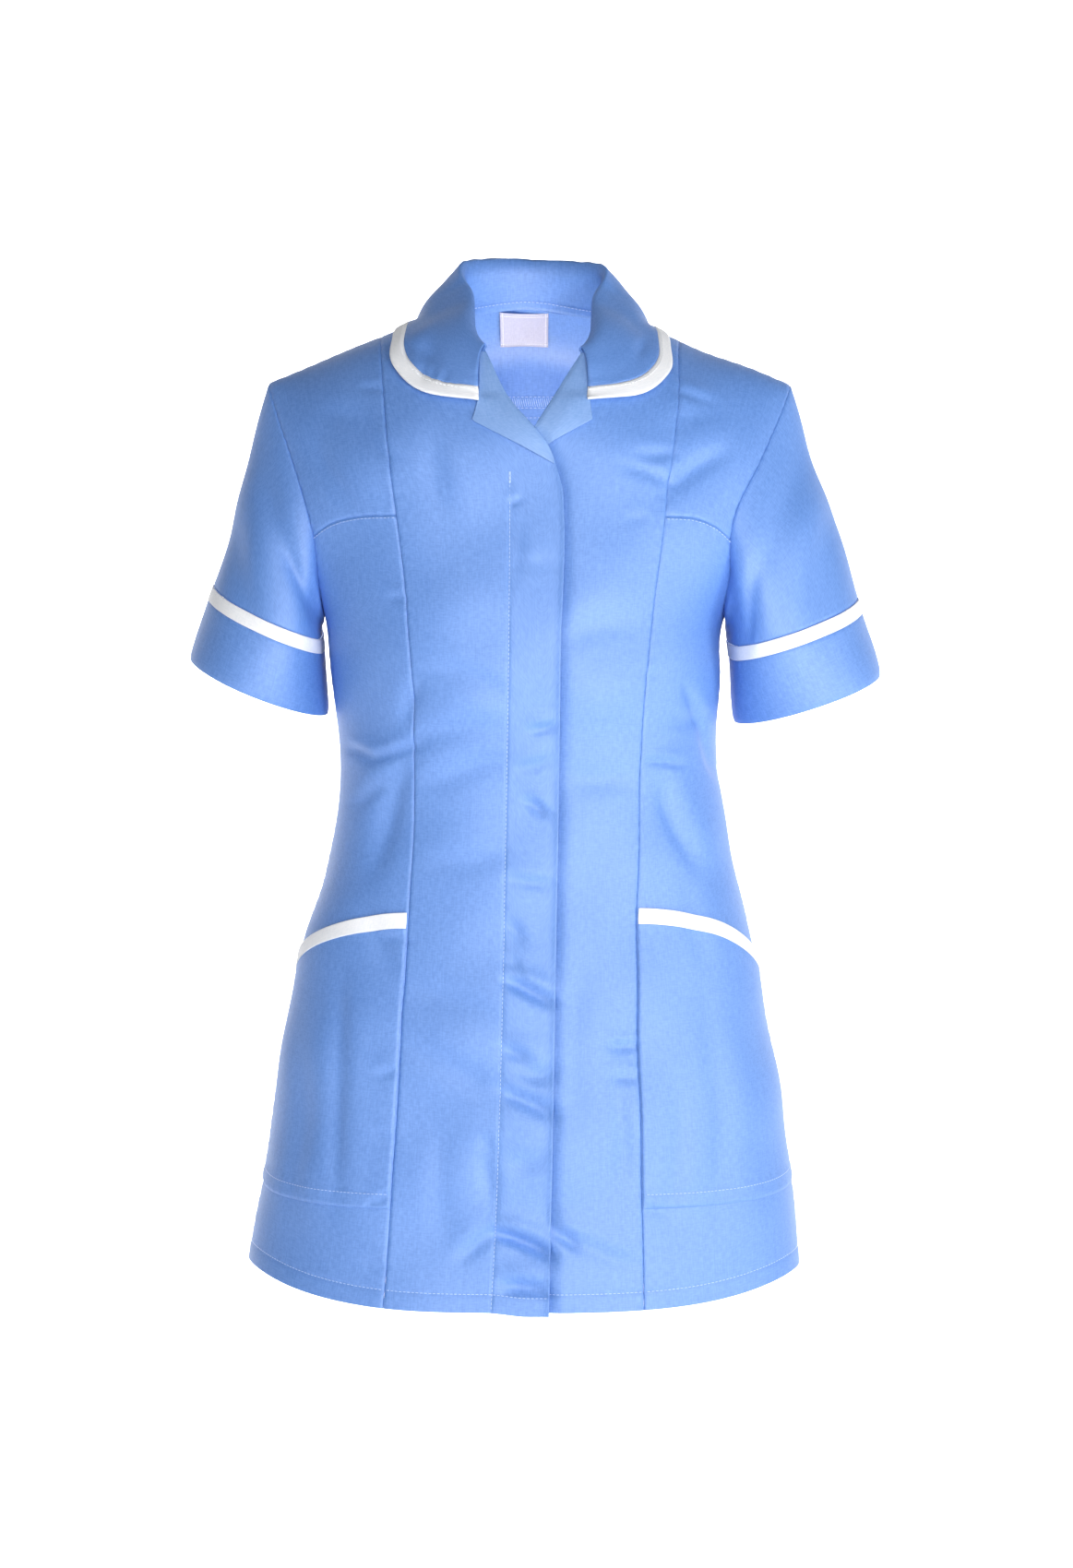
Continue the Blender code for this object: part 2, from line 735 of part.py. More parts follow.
def make_fronts(hand, word):
    columns, rows = CENTRE_GRID
    body_wall("front_centre_" + word, front_centre(hand), even(columns), even(rows), -WALL, 0, BLUE)
    columns, rows = LOWER_GRID
    body_wall("side_front_lower_" + word, side_front_lower(hand), even(columns), even(rows), -WALL, 0, BLUE)
    columns, rows = UPPER_GRID
    body_wall("side_front_upper_" + word, side_front_upper(hand), even(columns), even(rows), -WALL, 0, BLUE)


def make_back():
    columns, rows = BACK_GRID
    body_wall("back_panel", back_panel(), even(columns), even(rows), -WALL, 0, BLUE)
    columns, rows = YOKE_GRID
    body_wall("back_yoke", back_yoke(), even(columns), even(rows), -WALL, 0, BLUE)


def make_sleeve(hand, word):
    """Sleeve, its white trim and the cuff below it: three stretches of one tube."""
    place, count, length = sleeve_surface(hand)
    index = np.arange(count)
    cuff_depth = SLEEVES[word][-1]
    trim_low = cuff_depth + SEAM_GAP
    trim_high = trim_low + SLEEVE_TRIM
    stretches = (
        ("sleeve_", SLEEVE_ROWS, None, trim_high + SEAM_GAP, BLUE),
        ("sleeve_trim_", 1, trim_high, trim_low, WHITE),
        ("cuff_", CUFF_ROWS, cuff_depth, 0.0, BLUE),
    )
    for piece, rows, start, end, colour in stretches:
        grids = []
        for row in even(rows):
            top = length if start is None else np.full(count, start)
            grids.append(place(index, top * (1 - row) + end * row))
        point = np.stack([grid[0] for grid in grids], axis=1)
        normal = np.stack([grid[1] for grid in grids], axis=1)
        grid_wall(piece + word, point - normal * WALL, point, colour, closed=True)


def pocket_top_z(u, hand, above):
    return POCKET_TOP - POCKET_TOP_DROP[hand] * (1 - u) ** POCKET_CURVE + above


def make_pocket(hand, word):
    """A patch over the whole side front between its seams, and the white strip along its mouth."""
    princess = seam_angle(lambda z: princess_x(z, hand), hand * POCKET_INSET)
    outer_seam = lambda z: outer_angle(z, -1, hand) - hand * POCKET_INSET / 0.12

    def patch(bottom, top):
        return panel(-1, outer_seam, princess, bottom, top, straight_rows)

    pocket = patch(
        lambda x, u: POCKET_BOTTOM + POCKET_BOTTOM_RISE * (1 - u) ** 2,
        lambda x, u: pocket_top_z(u, hand, -SEAM_GAP),
    )
    strip = patch(lambda x, u: pocket_top_z(u, hand, 0.0), lambda x, u: pocket_top_z(u, hand, POCKET_TRIM))
    columns = even(LOWER_GRID[0])
    low, high = LAYER_GAP, LAYER_GAP + TRIM_WALL
    body_wall("pocket_" + word, pocket, columns, even(POCKET_ROWS), low, high, BLUE)
    body_wall("pocket_trim_" + word, strip, columns, even(1), low, high, WHITE)


def path_reader(points):
    """Reads a path of (x, z) points by the share of its length."""
    points = np.array(points)
    share = arc_share(points)
    return lambda t: (np.interp(t, share, points[:, 0]), np.interp(t, share, points[:, 1]))


def make_revere(hand, word):
    """The front corner turned out over its panel, between the roll line and its free edge."""
    table = ROLL_LEFT if hand > 0 else ROLL_RIGHT
    heights = np.linspace(table[-1][0] - 0.001, REVERE_LEFT_LOW if hand > 0 else table[0][0] + 0.002, 13)
    roll = path_reader(np.stack([read(table, 1, heights), heights], axis=-1))
    free = path_reader(REVERE_LEFT_EDGE if hand > 0 else REVERE_RIGHT_EDGE)
    u, v = np.meshgrid(even(REVERE_GRID[0]), even(REVERE_GRID[1]), indexing="ij")
    corner = arc_share(np.array(REVERE_LEFT_EDGE if hand > 0 else REVERE_RIGHT_EDGE))
    stations = np.interp(v, np.linspace(0, 1, len(corner)), corner)
    free_x, free_z = free(stations)
    roll_x, roll_z = roll(v)
    x = roll_x * (1 - u) + free_x * u
    z = roll_z * (1 - u) + free_z * u
    x = x + hand * REVERE_INSET * (1 - u)
    normal = body_normal(x, z, -1)
    point = body_point(x, z, -1)
    if hand > 0:
        point = point - normal * under_front(x, z)[..., None]
    low, high = LAYER_GAP, LAYER_GAP + TRIM_WALL
    grid_wall("revere_" + word, point + normal * low, point + normal * high, FACING_BLUE)


def make_collar():
    """Stand, roll and fall in one wall, and the white binding that carries on to the outer edge."""
    around = np.linspace(-1, 1, COLLAR_GRID[0] + 1)
    cloth = collar_grid(around, None, BINDING + SEAM_GAP, COLLAR_GRID[1] + 1)
    band = collar_grid(around, BINDING, 0.0, 3)
    normal = grid_normals(np.concatenate([cloth, band], axis=1))
    split = cloth.shape[1]
    seam = unit(normal[:, split - 1] + normal[:, split])
    normal[:, split - 1] = normal[:, split] = seam
    for name, middle, out, wall, colour in (
        ("collar", cloth, normal[:, :split], WALL, BLUE),
        ("collar_binding", band, normal[:, split:], TRIM_WALL, WHITE),
    ):
        grid_wall(name, middle - out * wall / 2, middle + out * wall / 2, colour)


def make_label():
    """A plain label that hangs from the neck seam, inside the yoke."""
    xs = np.linspace(LABEL_LEFT, LABEL_RIGHT, 5)
    zs = np.linspace(LABEL_TOP - LABEL_HEIGHT, LABEL_TOP, 5)
    x, z = np.meshgrid(xs, zs, indexing="ij")
    point, normal = body_point(x, z, 1), body_normal(x, z, 1)
    hang = (LABEL_TOP - z) / LABEL_HEIGHT
    near = (WALL + LABEL_GAP + LABEL_HANG * hang)[..., None]
    grid_wall("neck_label", point - normal * (near + LABEL_WALL), point - normal * near, LABEL_GREY)


def main():
    for thing in list(bpy.data.objects):
        bpy.data.objects.remove(thing)
    collection = bpy.data.collections.new(COLLECTION)
    bpy.context.scene.collection.children.link(collection)
    make_back()
    for hand, word in ((-1, "right"), (1, "left")):
        make_fronts(hand, word)
        make_sleeve(hand, word)
        make_pocket(hand, word)
        make_revere(hand, word)
    make_collar()
    make_label()


main()
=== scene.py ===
"""A short-sleeved work tunic as it looks: cut and sewn cloth with its creases, stitches and weave.

Metres, +Z up. The wearer faces -Y, so +X is the wearer's left. The origin is in the middle of the
neck opening, level with the shoulder seams' neck ends. Each piece of cloth is a thin sheet of its own.
"""

import math

import bmesh
import bpy
import numpy as np
from mathutils import Matrix, Vector


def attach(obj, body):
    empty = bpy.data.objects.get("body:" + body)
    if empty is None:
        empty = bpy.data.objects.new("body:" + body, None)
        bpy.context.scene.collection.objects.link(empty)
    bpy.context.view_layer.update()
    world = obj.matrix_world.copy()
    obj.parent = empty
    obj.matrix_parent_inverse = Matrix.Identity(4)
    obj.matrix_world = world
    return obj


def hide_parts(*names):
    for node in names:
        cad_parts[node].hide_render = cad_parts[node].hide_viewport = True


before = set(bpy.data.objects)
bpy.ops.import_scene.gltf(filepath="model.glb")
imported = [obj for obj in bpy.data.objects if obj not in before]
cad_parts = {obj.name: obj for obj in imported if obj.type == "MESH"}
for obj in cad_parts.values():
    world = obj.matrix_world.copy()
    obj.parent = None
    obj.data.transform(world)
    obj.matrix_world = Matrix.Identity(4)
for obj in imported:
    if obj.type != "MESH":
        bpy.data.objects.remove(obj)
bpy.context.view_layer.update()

# The solids that the cloth lies on.
WALL = 0.0015
SEAM_GAP = 0.00002
LAYER_GAP = 0.0005

# The body of the tunic: half width, lean to the wearer's left, and depth in front and behind.
BODY = (
    # z, half_width, lean, front_depth, back_depth
    (-0.720, 0.2050, -0.0045, 0.121, 0.113),
    (-0.600, 0.1875, -0.0020, 0.117, 0.110),
    (-0.521, 0.1752, 0.0000, 0.113, 0.105),
    (-0.462, 0.1643, -0.0003, 0.109, 0.099),
    (-0.405, 0.1492, 0.0012, 0.105, 0.092),
    (-0.353, 0.1390, 0.0005, 0.104, 0.088),
    (-0.312, 0.1367, 0.0000, 0.108, 0.090),
    (-0.262, 0.1412, -0.0020, 0.120, 0.099),
    (-0.215, 0.1465, -0.0038, 0.119, 0.106),
    (-0.185, 0.1610, -0.0030, 0.113, 0.106),
    (-0.150, 0.1770, -0.0010, 0.106, 0.104),
    (-0.100, 0.1910, 0.0005, 0.098, 0.101),
    (-0.049, 0.1980, 0.0010, 0.090, 0.097),
    (0.030, 0.2010, 0.0010, 0.082, 0.093),
)
Z, HALF_WIDTH, LEAN, FRONT_DEPTH, BACK_DEPTH = range(5)
SQUARENESS = 2.3  # exponent of the body's section: 2 is an ellipse, more is boxier

# The shoulder ridge, where front and back meet, and how high the rounding over it is.
RIDGE_TOP = 0.021
RIDGE_SLOPE = 0.42
RIDGE_SOFTNESS = 0.025
FRONT_ROUNDING = 0.12
BACK_ROUNDING = 0.05
SHOULDER_TIP_Z = -0.049
UNDERARM_Z = -0.215

# Armhole: how far round the body's section it lies, from the underarm up to the shoulder tip.
ARMHOLE = (
    # up, front_right, front_left, back
    (0.0, 90.0, 90.0, 90.0),
    (0.3, 71.5, 70.0, 74.5),
    (0.6, 59.5, 54.0, 67.0),
    (0.8, 63.0, 60.5, 68.0),
    (1.0, 71.4, 71.4, 71.4),
)
UP, ARM_FRONT_RIGHT, ARM_FRONT_LEFT, ARM_BACK = range(4)

# Seams down the front, as (z, x) from the hem up: princess seams, the lapped edge and the roll lines.
PRINCESS_RIGHT = (
    (-0.720, -0.1022), (-0.618, -0.0957), (-0.559, -0.0918), (-0.453, -0.0863), (-0.386, -0.0824),
    (-0.313, -0.0804), (-0.221, -0.0851), (-0.148, -0.0932), (-0.123, -0.0963), (-0.071, -0.1020),
    (-0.016, -0.1065),
)
PRINCESS_LEFT = (
    (-0.720, 0.0815), (-0.641, 0.0801), (-0.500, 0.0769), (-0.386, 0.0775), (-0.300, 0.0801),
    (-0.225, 0.0875), (-0.151, 0.0959), (-0.119, 0.1004), (-0.078, 0.1059), (-0.016, 0.1100),
)
FLY_EDGE = (
    (-0.720, 0.0140), (-0.612, 0.0164), (-0.500, 0.0186), (-0.371, 0.0209), (-0.242, 0.0228),
    (-0.150, 0.0250), (-0.132, 0.0242), (-0.1124, 0.0190),
)
ROLL_RIGHT = (
    (-0.1124, 0.0190), (-0.0990, 0.0130), (-0.0862, 0.0030), (-0.0700, -0.0105), (-0.0300, -0.0306),
)
ROLL_LEFT = (
    (-0.1130, -0.0070), (-0.0990, -0.0025), (-0.0873, 0.0042), (-0.0665, 0.0170), (-0.0480, 0.0276),
    (-0.0306, 0.0380),
)
UNDERLAP_X = -0.012
UNDERLAP_TOP = -0.122
UNDERLAP_DROP = 0.0030  # how far the under front lies behind the upper one
UNDERLAP_WIDTH = 0.010
UNDERLAP_LOW = -0.096
UNDERLAP_HIGH = -0.080

# Seams across.
HEM_MIDDLE = -0.7075
HEM_RISE = 0.0255
HEM_HALF_WIDTH = 0.2
HEM_POWER = 3.6
CHEST_SEAM = (
    # round (0 at the princess seam, 1 at the armhole), z_right, z_left
    (0.0, -0.1490, -0.1500),
    (0.4, -0.1495, -0.1510),
    (0.7, -0.1535, -0.1560),
    (1.0, -0.1620, -0.1650),
)
YOKE_SEAM_Z = -0.070
YOKE_SEAM_SAG = 0.006
YOKE_HALF_WIDTH = 0.18

# Neck opening, in plan: an ellipse, deeper in front.
NECK_X = 0.0032
NECK_HALF_WIDTH = 0.062
NECK_BACK = 0.048
NECK_FRONT = 0.080
NECK_END = math.radians(146.0)  # where the collar's front ends are, round from the back

# Collar: stand height, and how it falls; sides are measured from the back round to a front end.
COLLAR = (
    # round, stand, lean_in, edge_out_x, edge_y, edge_z
    (0.00, 0.0344, 0.0030, 0.0000, 0.098, -0.0300),
    (0.22, 0.0385, 0.0030, 0.0480, 0.090, -0.0300),
    (0.32, 0.0395, 0.0022, 0.0660, 0.076, -0.0270),
    (0.42, 0.0380, 0.0030, 0.0800, 0.056, -0.0230),
    (0.56, 0.0275, 0.0092, 0.0905, 0.006, -0.0180),
    (0.70, 0.0160, 0.0176, 0.0952, -0.026, -0.0310),
    (0.82, 0.0070, 0.0146, 0.0935, -0.050, -0.0525),
    (0.92, 0.0040, 0.0062, 0.0720, -0.072, -0.0675),
    (1.00, 0.0030, 0.0010, 0.0370, -0.083, -0.0710),
)
ROUND, STAND, LEAN_IN, EDGE_OUT, EDGE_Y, EDGE_Z = range(6)
ROLL_RADIUS = 0.0028
ROLL_INNER = 0.9  # how far inside and outside the roll's line its two sides lie, in roll radii
ROLL_OUTER = 1.1
STAND_IN = 0.0012  # the stand's foot lies this far inside the neck seam, and twice as far below it
FALL_FULLNESS = 0.0045
COLLAR_LIFT = 0.0016  # the collar's underside over the panels
TOP_SHARE = 0.9  # how much of the section's depth counts as the shoulder's top
BINDING = 0.0125

# Reveres: the turned-out front corners. Each row is a point of the free edge, from the collar's end.
REVERE_RIGHT_EDGE = ((-0.0350, -0.0306), (-0.0350, -0.0646), (-0.0398, -0.0822), (0.0182, -0.1136))
REVERE_LEFT_EDGE = ((0.0425, -0.0312), (0.0425, -0.0636), (0.0447, -0.0826), (0.0120, -0.1008))
REVERE_LEFT_LOW = -0.0935  # where the left revere's roll passes under the right front
REVERE_END = 0.001  # how far below its roll line's top a revere begins; it ends twice as far above the foot

# Pockets, from the princess seam to the side seam.
POCKET_TOP = {-1: -0.4400, 1: -0.4366}
POCKET_TOP_DROP = {-1: 0.0345, 1: 0.0408}
POCKET_CURVE = 1.7
POCKET_SIDE_DEPTH = 0.12  # from the middle of the body to its side seam, which turns an inset into an angle
POCKET_BOTTOM = -0.6360
POCKET_BOTTOM_RISE = 0.0140
POCKET_BOTTOM_X = (0.08, 0.18)  # where its lower edge begins to rise, and where it has risen
POCKET_TRIM = 0.0110
POCKET_INSET = 0.0008

# Sleeves, each a tube from its armhole to a tilted hem ring.
SLEEVES = {
    # side: x and z of the hem ring's middle, half width, half depth, lean in degrees, cuff depth
    "right": (-0.1950, -0.2668, 0.0525, 0.060, 22.7, 0.0450),
    "left": (0.2018, -0.2758, 0.0555, 0.060, 18.7, 0.0470),
}
SLEEVE_TILT = math.radians(9.0)
SLEEVE_FULLNESS = 0.007
SLEEVE_BLEND = 0.25  # share of the sleeve over which its wall turns from the body's to its own
SLEEVE_TRIM = 0.0100

# Where a panel's even rows end, as a share of its rows, and how its rows meet the sleeves.
FRONT_KNEE = 0.62
FRONT_KNEE_HEIGHT = 0.11
LOWER_KNEE = 0.68
BACK_KNEE = 0.60
LOWER_CELLS = 100
UPPER_CELLS = 26
BACK_CELLS = 100
YOKE_CELLS = 26

# Label, sewn inside the back neck.
LABEL_LEFT = -0.022
LABEL_RIGHT = 0.015
LABEL_TOP = 0.0115
LABEL_HEIGHT = 0.0208
LABEL_GAP = 0.0012
LABEL_HANG = 0.0012  # how much further its lower edge stands off the yoke
LABEL_CURL = 0.0006
LABEL_GRID = (19, 13)

SECTION_POWER = 2.0 / SQUARENESS

# Cloth, as it looks: thinner than its solid's wall, with hems and seams of doubled cloth.
CLOTH = 0.0008
TRIM_CLOTH = 0.0009
LABEL_CLOTH = 0.0005
CELL = 0.0028  # size of a sheet's cells
TRIM_CELL = 0.0016
TRIM_STEPS = (0.0, 0.0008)
LINE_STEPS = (-0.0018, -0.0009, 0.0, 0.0009, 0.0018)  # rows beside a stitched line
LINE_CLEAR = 0.0005  # no even row lies nearer than this to a row of a stitched line
EDGE_STEPS = (0.0, 0.0006, 0.0013, 0.0022, 0.0035)  # first cells in from a sheet's edge
SEAM_DIP = 0.0008
SEAM_DIP_WIDTH = 0.0011
PUCKER = 0.00022
PUCKER_EVERY = 0.0016
PUCKER_WIDTH = 0.0060
PUCKER_WANDER = 2.1  # how unevenly the puckers follow one another, and over what length that repeats
PUCKER_WANDER_EVERY = 0.031
CUT_LEAST = 0.3  # no cut covers less than this share of its flat width times length
SIDE_BLEND = 0.060  # over this much depth the front's creases give way to the back's

# Soft swells over the whole tunic: length mm, direction in degrees, phase, height mm.
SWELLS = (
    (210.0, 74.0, 0.4, 1.2),
    (143.0, 12.0, 1.9, 1.0),
    (97.0, 103.0, 3.1, 0.8),
    (66.0, 48.0, 0.9, 0.42),
    (58.0, 131.0, 4.4, 0.36),
)
SWELL_BACK_TURN = 23.0  # the back's swells are turned and shifted, so that they aren't the front's
SWELL_SIDE_PHASE = 1.7

# A crease: how it wavers and fades out along its length, and the ridge beside it, in its own widths.
CREASE_WAVER = 0.35
CREASE_FADE = 0.22
CREASE_WAVER_RUN = 4.0
CREASE_GAIN = 2.5
CREASE_BANK = 0.38
CREASE_BANK_AT = 2.1
CREASE_BANK_WIDTH = 1.5

# Creases, in millimetres: from x, z to x, z, width, depth. A ridge lies along the left-hand side.
FRONT_CREASES = (
    # under the bust, right side front
    (-111.6, -320, -80, -313, 3.4, 1.1),
    (-129, -312.6, -111.6, -320, 3.2, 0.9),
    (-111, -393, -80.5, -319, 8, 1.3),
    (-84, -296, -79, -268, 6, 0.9),
    (-124, -352, -100, -338, 5, 0.7),
    # left side front
    (84.7, -322, 107.4, -324.7, 2.4, 1.3),
    (114.8, -272.8, 124.5, -303.5, 4, 1.2),
    (124.5, -303.5, 135.7, -330, 4, 1.1),
    (94.4, -341, 115, -393, 7, 1.5),
    (100, -296, 128, -288, 5, 0.6),
    # right front, over the bust and waist
    (-66, -257.7, -18, -274, 7, 0.9),
    (-79, -306, -24, -299, 8, 0.8),
    (-74, -336, -22, -326, 8, 0.7),
    (-70, -398, -20, -386, 9, 0.7),
    (-80, -478, -27, -505, 8, 0.7),
    (-86, -516, -24, -560, 9, 1),
    (-64, -588, -58, -650, 9, 0.5),
    # the lap, right front
    (-13, -141.5, -5.5, -138, 1.9, 0.8),
    (-9, -158, -10, -196, 5, 0.4),
    (-4, -181, 15, -187, 5, 0.3),
    (1.5, -299.6, 17.6, -299, 3, 1.4),
    (-1.7, -351, 12.2, -359, 3.2, 1.6),
    (-6, -327, 12, -322, 4, 0.8),
    (-12, -404, 14, -409, 4, 0.9),
    (-15, -437, -4.5, -448, 4, 0.9),
    (-15, -462, -5, -471, 4, 0.9),
    (-14.5, -478, 15, -489.5, 4.2, 2.3),
    (-16, -523, -2, -532, 4, 1.4),
    (-6, -540, 14, -541, 7, 1.3),
    (-17, -551, 15, -571, 5.5, 2),
    (-12, -603, 8, -600, 7, 0.8),
    (-22, -652, 14, -666.5, 4.2, 3.2),
    (-16, -688, 12, -694, 5, 2.1),
    (-48, -668, -24, -655, 5.5, 1),
    (-33, -588, -25, -595, 4, 0.6),
    (-34, -599, -26, -628, 6, 0.7),
    # left front
    (17, -652.5, 34, -659.5, 4.2, 1.5),
    (30, -660, 72, -672, 6, 0.7),
    (58, -521, 76, -522.5, 2.8, 0.9),
    (60, -544.5, 74, -545, 3.4, 0.7),
    (65, -556, 64, -612, 6, 0.7),
    (30, -470, 34, -560, 10, 0.5),
    (28, -236, 70, -226, 9, 0.6),
    (26, -330, 72, -338, 9, 0.7),
    # ticks where the side seams draw the cloth up
    (-103, -446, -86, -450, 3, 0.6),
    (-106, -542, -93, -539, 3, 0.6),
    (-108, -583, -95, -588, 3, 0.6),
    (-111, -632, -99, -629, 3, 0.6),
    (-112, -672, -101, -677, 2.6, 0.6),
    (81, -634, 96, -638, 3, 0.5),
    (-99, -206, -88, -209, 3, 0.6),
    (82, -262, 94, -258, 3, 0.5),
    # chest and shoulders
    (75, -107, 101, -104, 4.5, 0.7),
    (67, -116, 101, -124, 5, 0.6),
    (72, -154, 81, -151, 3, 0.4),
    (98, -136, 136, -101, 7, 1.1),
    (104, -86, 134, -72, 8, 0.6),
    (106, -59, 131, -64, 3.4, 0.6),
    (-118, -55.5, -104, -58, 2.2, 0.6),
    (-121, -90, -97, -109, 5, 0.8),
    (-140, -76, -108, -84, 7, 0.6),
    (-70, -96, -56, -150, 9, 0.6),
    (-150, -96, -128, -140, 7, 0.7),
    # the collar's fall, over its binding
    (-84, -28, -62, -36, 6, 0.8),
    (-75, -42, -73, -51, 2.6, 0.8),
    (-67, -43, -69, -52, 2.4, 0.7),
    (-58, -44, -60, -54, 2.4, 0.8),
    (-49, -45, -52, -55, 2.6, 0.7),
    (-88, -22, -84, -36, 3, 0.7),
    (62, -40, 60, -52, 3.4, 0.5),
    (78, -30, 86, -20, 4, 0.5),
    # hips and pockets
    (-134, -489, -133, -622, 6, 1),
    (-160, -520, -166, -640, 8, 0.7),
    (128, -500, 134, -630, 8, 0.8),
    (104, -560, 101, -640, 7, 0.6),
    (-112, -430, -98, -470, 7, 0.7),
    (112, -418, 124, -462, 7, 0.7),
    # sleeves
    (-188, -120, -166, -196, 9, 1.3),
    (-214, -150, -196, -226, 9, 1.1),
    (-168, -176, -152, -226, 5, 1.2),
    (188, -118, 172, -204, 9, 1.3),
    (214, -150, 204, -232, 9, 1),
    (164, -180, 154, -236, 5, 1.2),
)
BACK_CREASES = (
    (-70, -310, -10, -322, 5, 1.5),
    (8, -334, 76, -318, 4.5, 1.3),
    (-96, -345, -48, -352, 6, 1.1),
    (36, -362, 92, -350, 6, 1),
    (-30, -378, 28, -372, 7, 0.9),
    (-118, -296, -92, -322, 5, 1.2),
    (94, -330, 122, -300, 5, 1.2),
    (-64, -96, -52, -240, 10, 1.2),
    (58, -104, 66, -232, 10, 1.1),
    (-6, -120, 4, -262, 11, 0.8),
    (-130, -110, -112, -180, 7, 1),
    (128, -116, 114, -186, 7, 1),
    (-78, -470, -92, -640, 11, 1.1),
    (18, -480, 24, -660, 12, 1),
    (96, -460, 118, -630, 11, 1.1),
    (-30, -520, -36, -680, 10, 0.8),
    (-40, -436, 16, -428, 8, 0.7),
    (-188, -120, -168, -196, 9, 1.2),
    (-212, -156, -194, -230, 8, 1),
    (186, -116, 170, -200, 9, 1.2),
    (216, -156, 202, -236, 8, 1),
    (-34, -30, -20, -64, 7, 0.6),
    (44, -28, 34, -62, 7, 0.6),
)

# Bands of doubled cloth and the lines of stitches on them.
HEM_DEPTH = 0.0128
HEM_PROUD = 0.00045
HEM_DIP = 0.0004
STITCH_WIDTH = 0.0013
FLY_STITCH = (
    (-0.7193, -0.0269), (-0.6400, -0.0227), (-0.5340, -0.0191), (-0.3730, -0.0159), (-0.2670, -0.0140),
    (-0.1190, -0.0130), (-0.0300, -0.0130),
)
LAP_LINES = (-0.0365, -0.0385, -0.0405)  # extra columns near the fly's stitches, in from the lapped edge
LAP_PROUD = 0.0004
LAP_STEP = 0.0030
LAP_EDGE_PROUD = 0.0009
LAP_EDGE = 0.0040
LAP_DIP = 0.0004
LAP_TOP = -0.112
LAP_TOP_FADE = 0.010
LAP_DROP = 0.0025  # how much lower the lap's corner hangs than the under front
LAP_DROP_WIDTH = 0.030
CUFF_PROUD = 0.0008
CUFF_EDGE = 0.004
CUFF_FULLEST = 0.008  # how far above its folded edge the cuff is fullest, and how far that reaches
CUFF_REACH = 0.020
TRIM_PROUD = 0.0006
TOPSTITCH = 0.0020
POCKET_STITCH = 0.0100
POCKET_DIP = 0.0004
REVERE_FOLD = 0.0030
REVERE_SINK = 0.0008
REVERE_SPRING = 0.0012
REVERE_SPRING_REACH = 0.030
REVERE_TUCK_Z = -0.068  # above this the collar's fall holds the revere down
REVERE_TUCK_FADE = 0.008
REVERE_TUCK_SINK = 0.0004
COLLAR_COLUMNS = 241
COLLAR_ROWS = 46
BINDING_ROWS = 9
COLLAR_CLOTH = 0.0011
COLLAR_DIP = 0.0004
COLLAR_DIP_WIDTH = 0.0014
BINDING_CLOTH = 0.00132
BINDING_PROUD = 0.0004
COLLAR_SMOOTHING = 0.8
COLLAR_SMOOTHINGS = 24
SMOOTHED_FROM = 0.55  # places round the collar, from the back to a front end
SMOOTHED_OVER = 0.2
# Distances up from the neck seam: where the fall takes on creases and ripples, and over how far.
CREASED_FROM = 0.040
RIPPLED_FROM = 0.045
FALL_BLEND = 0.020
# Ripples of the fall: waves from one end to the other in radians, phase, share of the height.
RIPPLE = 0.00035
RIPPLES = ((21.0, 0.0, 1.0), (47.0, 1.3, 0.6))
RIPPLE_WANDER = 0.6
RIPPLE_WANDER_RUN = 9.0
THREAD = 0.00030  # radius of a sewing thread as it lies
THREAD_RAISED = 0.1  # its middle stands this far off the cloth, in its own radii
THREAD_BATCH = 60
STITCH_PITCH = 0.0030
STITCH_LENGTH = 0.0024
LINE_SEARCH = 0.1  # a stitched line lies within this share of its panel's rows
LINE_ENDS = (0.01, 0.99)
FLY_FOOT = 0.0020  # how far above the hem's middle the fly's stitches end
BAR_LENGTH = 0.0080  # the bar that ends the fly's stitches, two rows side by side
BAR_ASIDE = 0.0004
BAR_PITCH = 0.0006
BAR_STITCH = 0.0011
OVERLOCK_X = (-0.019, 0.022)
OVERLOCK_LINES = (-0.0480, -0.0562, -0.0635)
OVERLOCK_SLANT = (-0.0484, -0.0558)  # a slanted stitch, from its upper to its lower end
OVERLOCK_STEP = 0.0016
THREAD_LIFT = 0.0001
LABEL_PITCH = 0.0016
LABEL_STITCH = 0.0011

# Weave: how long each yarn's bumps are and how large its slubs, in grains, and how much each counts.
WEFT_RUN = 4.0
WARP_RUN = 5.0
SLUB_WIDTH = 1.2
SLUB_RUN = 70.0
CLOUD_SIZE = (0.05, 0.06)
# The yarns' bumps darken the colour between them as painted shade; slubs and clouds vary the tone at
# random.
YARN_SHARE = 0.36
SLUB_SHARE = 0.14
GAP_SHADE_AND_MOTTLE_RANGE = (0.36, 0.64)
YARN_STRENGTH = 0.4
ROUGH_RANGE = 0.04
TWIST_SCALE = 2600.0  # noise cells in a metre of thread, for its twist
# How much lighter the raised twists are painted: a painted highlight.
TWIST_HIGHLIGHT = 1.15
TWIST_STRENGTH = 0.3
TWIST_DEPTH = 0.0001
MIX_SHARE, MIX_FIRST, MIX_SECOND, MIXED = 0, 6, 7, 2  # sockets of a mix of two colours

# Woven cloths: colour, a darker colour painted as shade between the yarns, roughness, the yarns' grain and
# depth, IOR.
CLOTHS = {
    # Pressed polyester and cotton: matt, with a soft sheen where its smooth yarns face the light.
    "blue_polycotton": ("#6694DC", "#5082CD", 0.62, 0.0011, 0.0003, 2.0),
    # The same cloth seen on its paler side, which the turned-out fronts show.
    "blue_polycotton_facing": ("#7FA6DE", "#6D97D4", 0.62, 0.0011, 0.0003, 2.0),
    # White polyester and cotton: matt, with hardly a shadow between its yarns.
    "white_polycotton": ("#FAFAFC", "#F0F2F6", 0.70, 0.0010, 0.0002, 1.45),
    # Satin tape, woven finer than cloth: nearly smooth, with a slight gloss.
    "woven_satin_tape": ("#C6C6D8", "#B9B9CE", 0.5, 0.0008, 0.0001, 1.45),
}

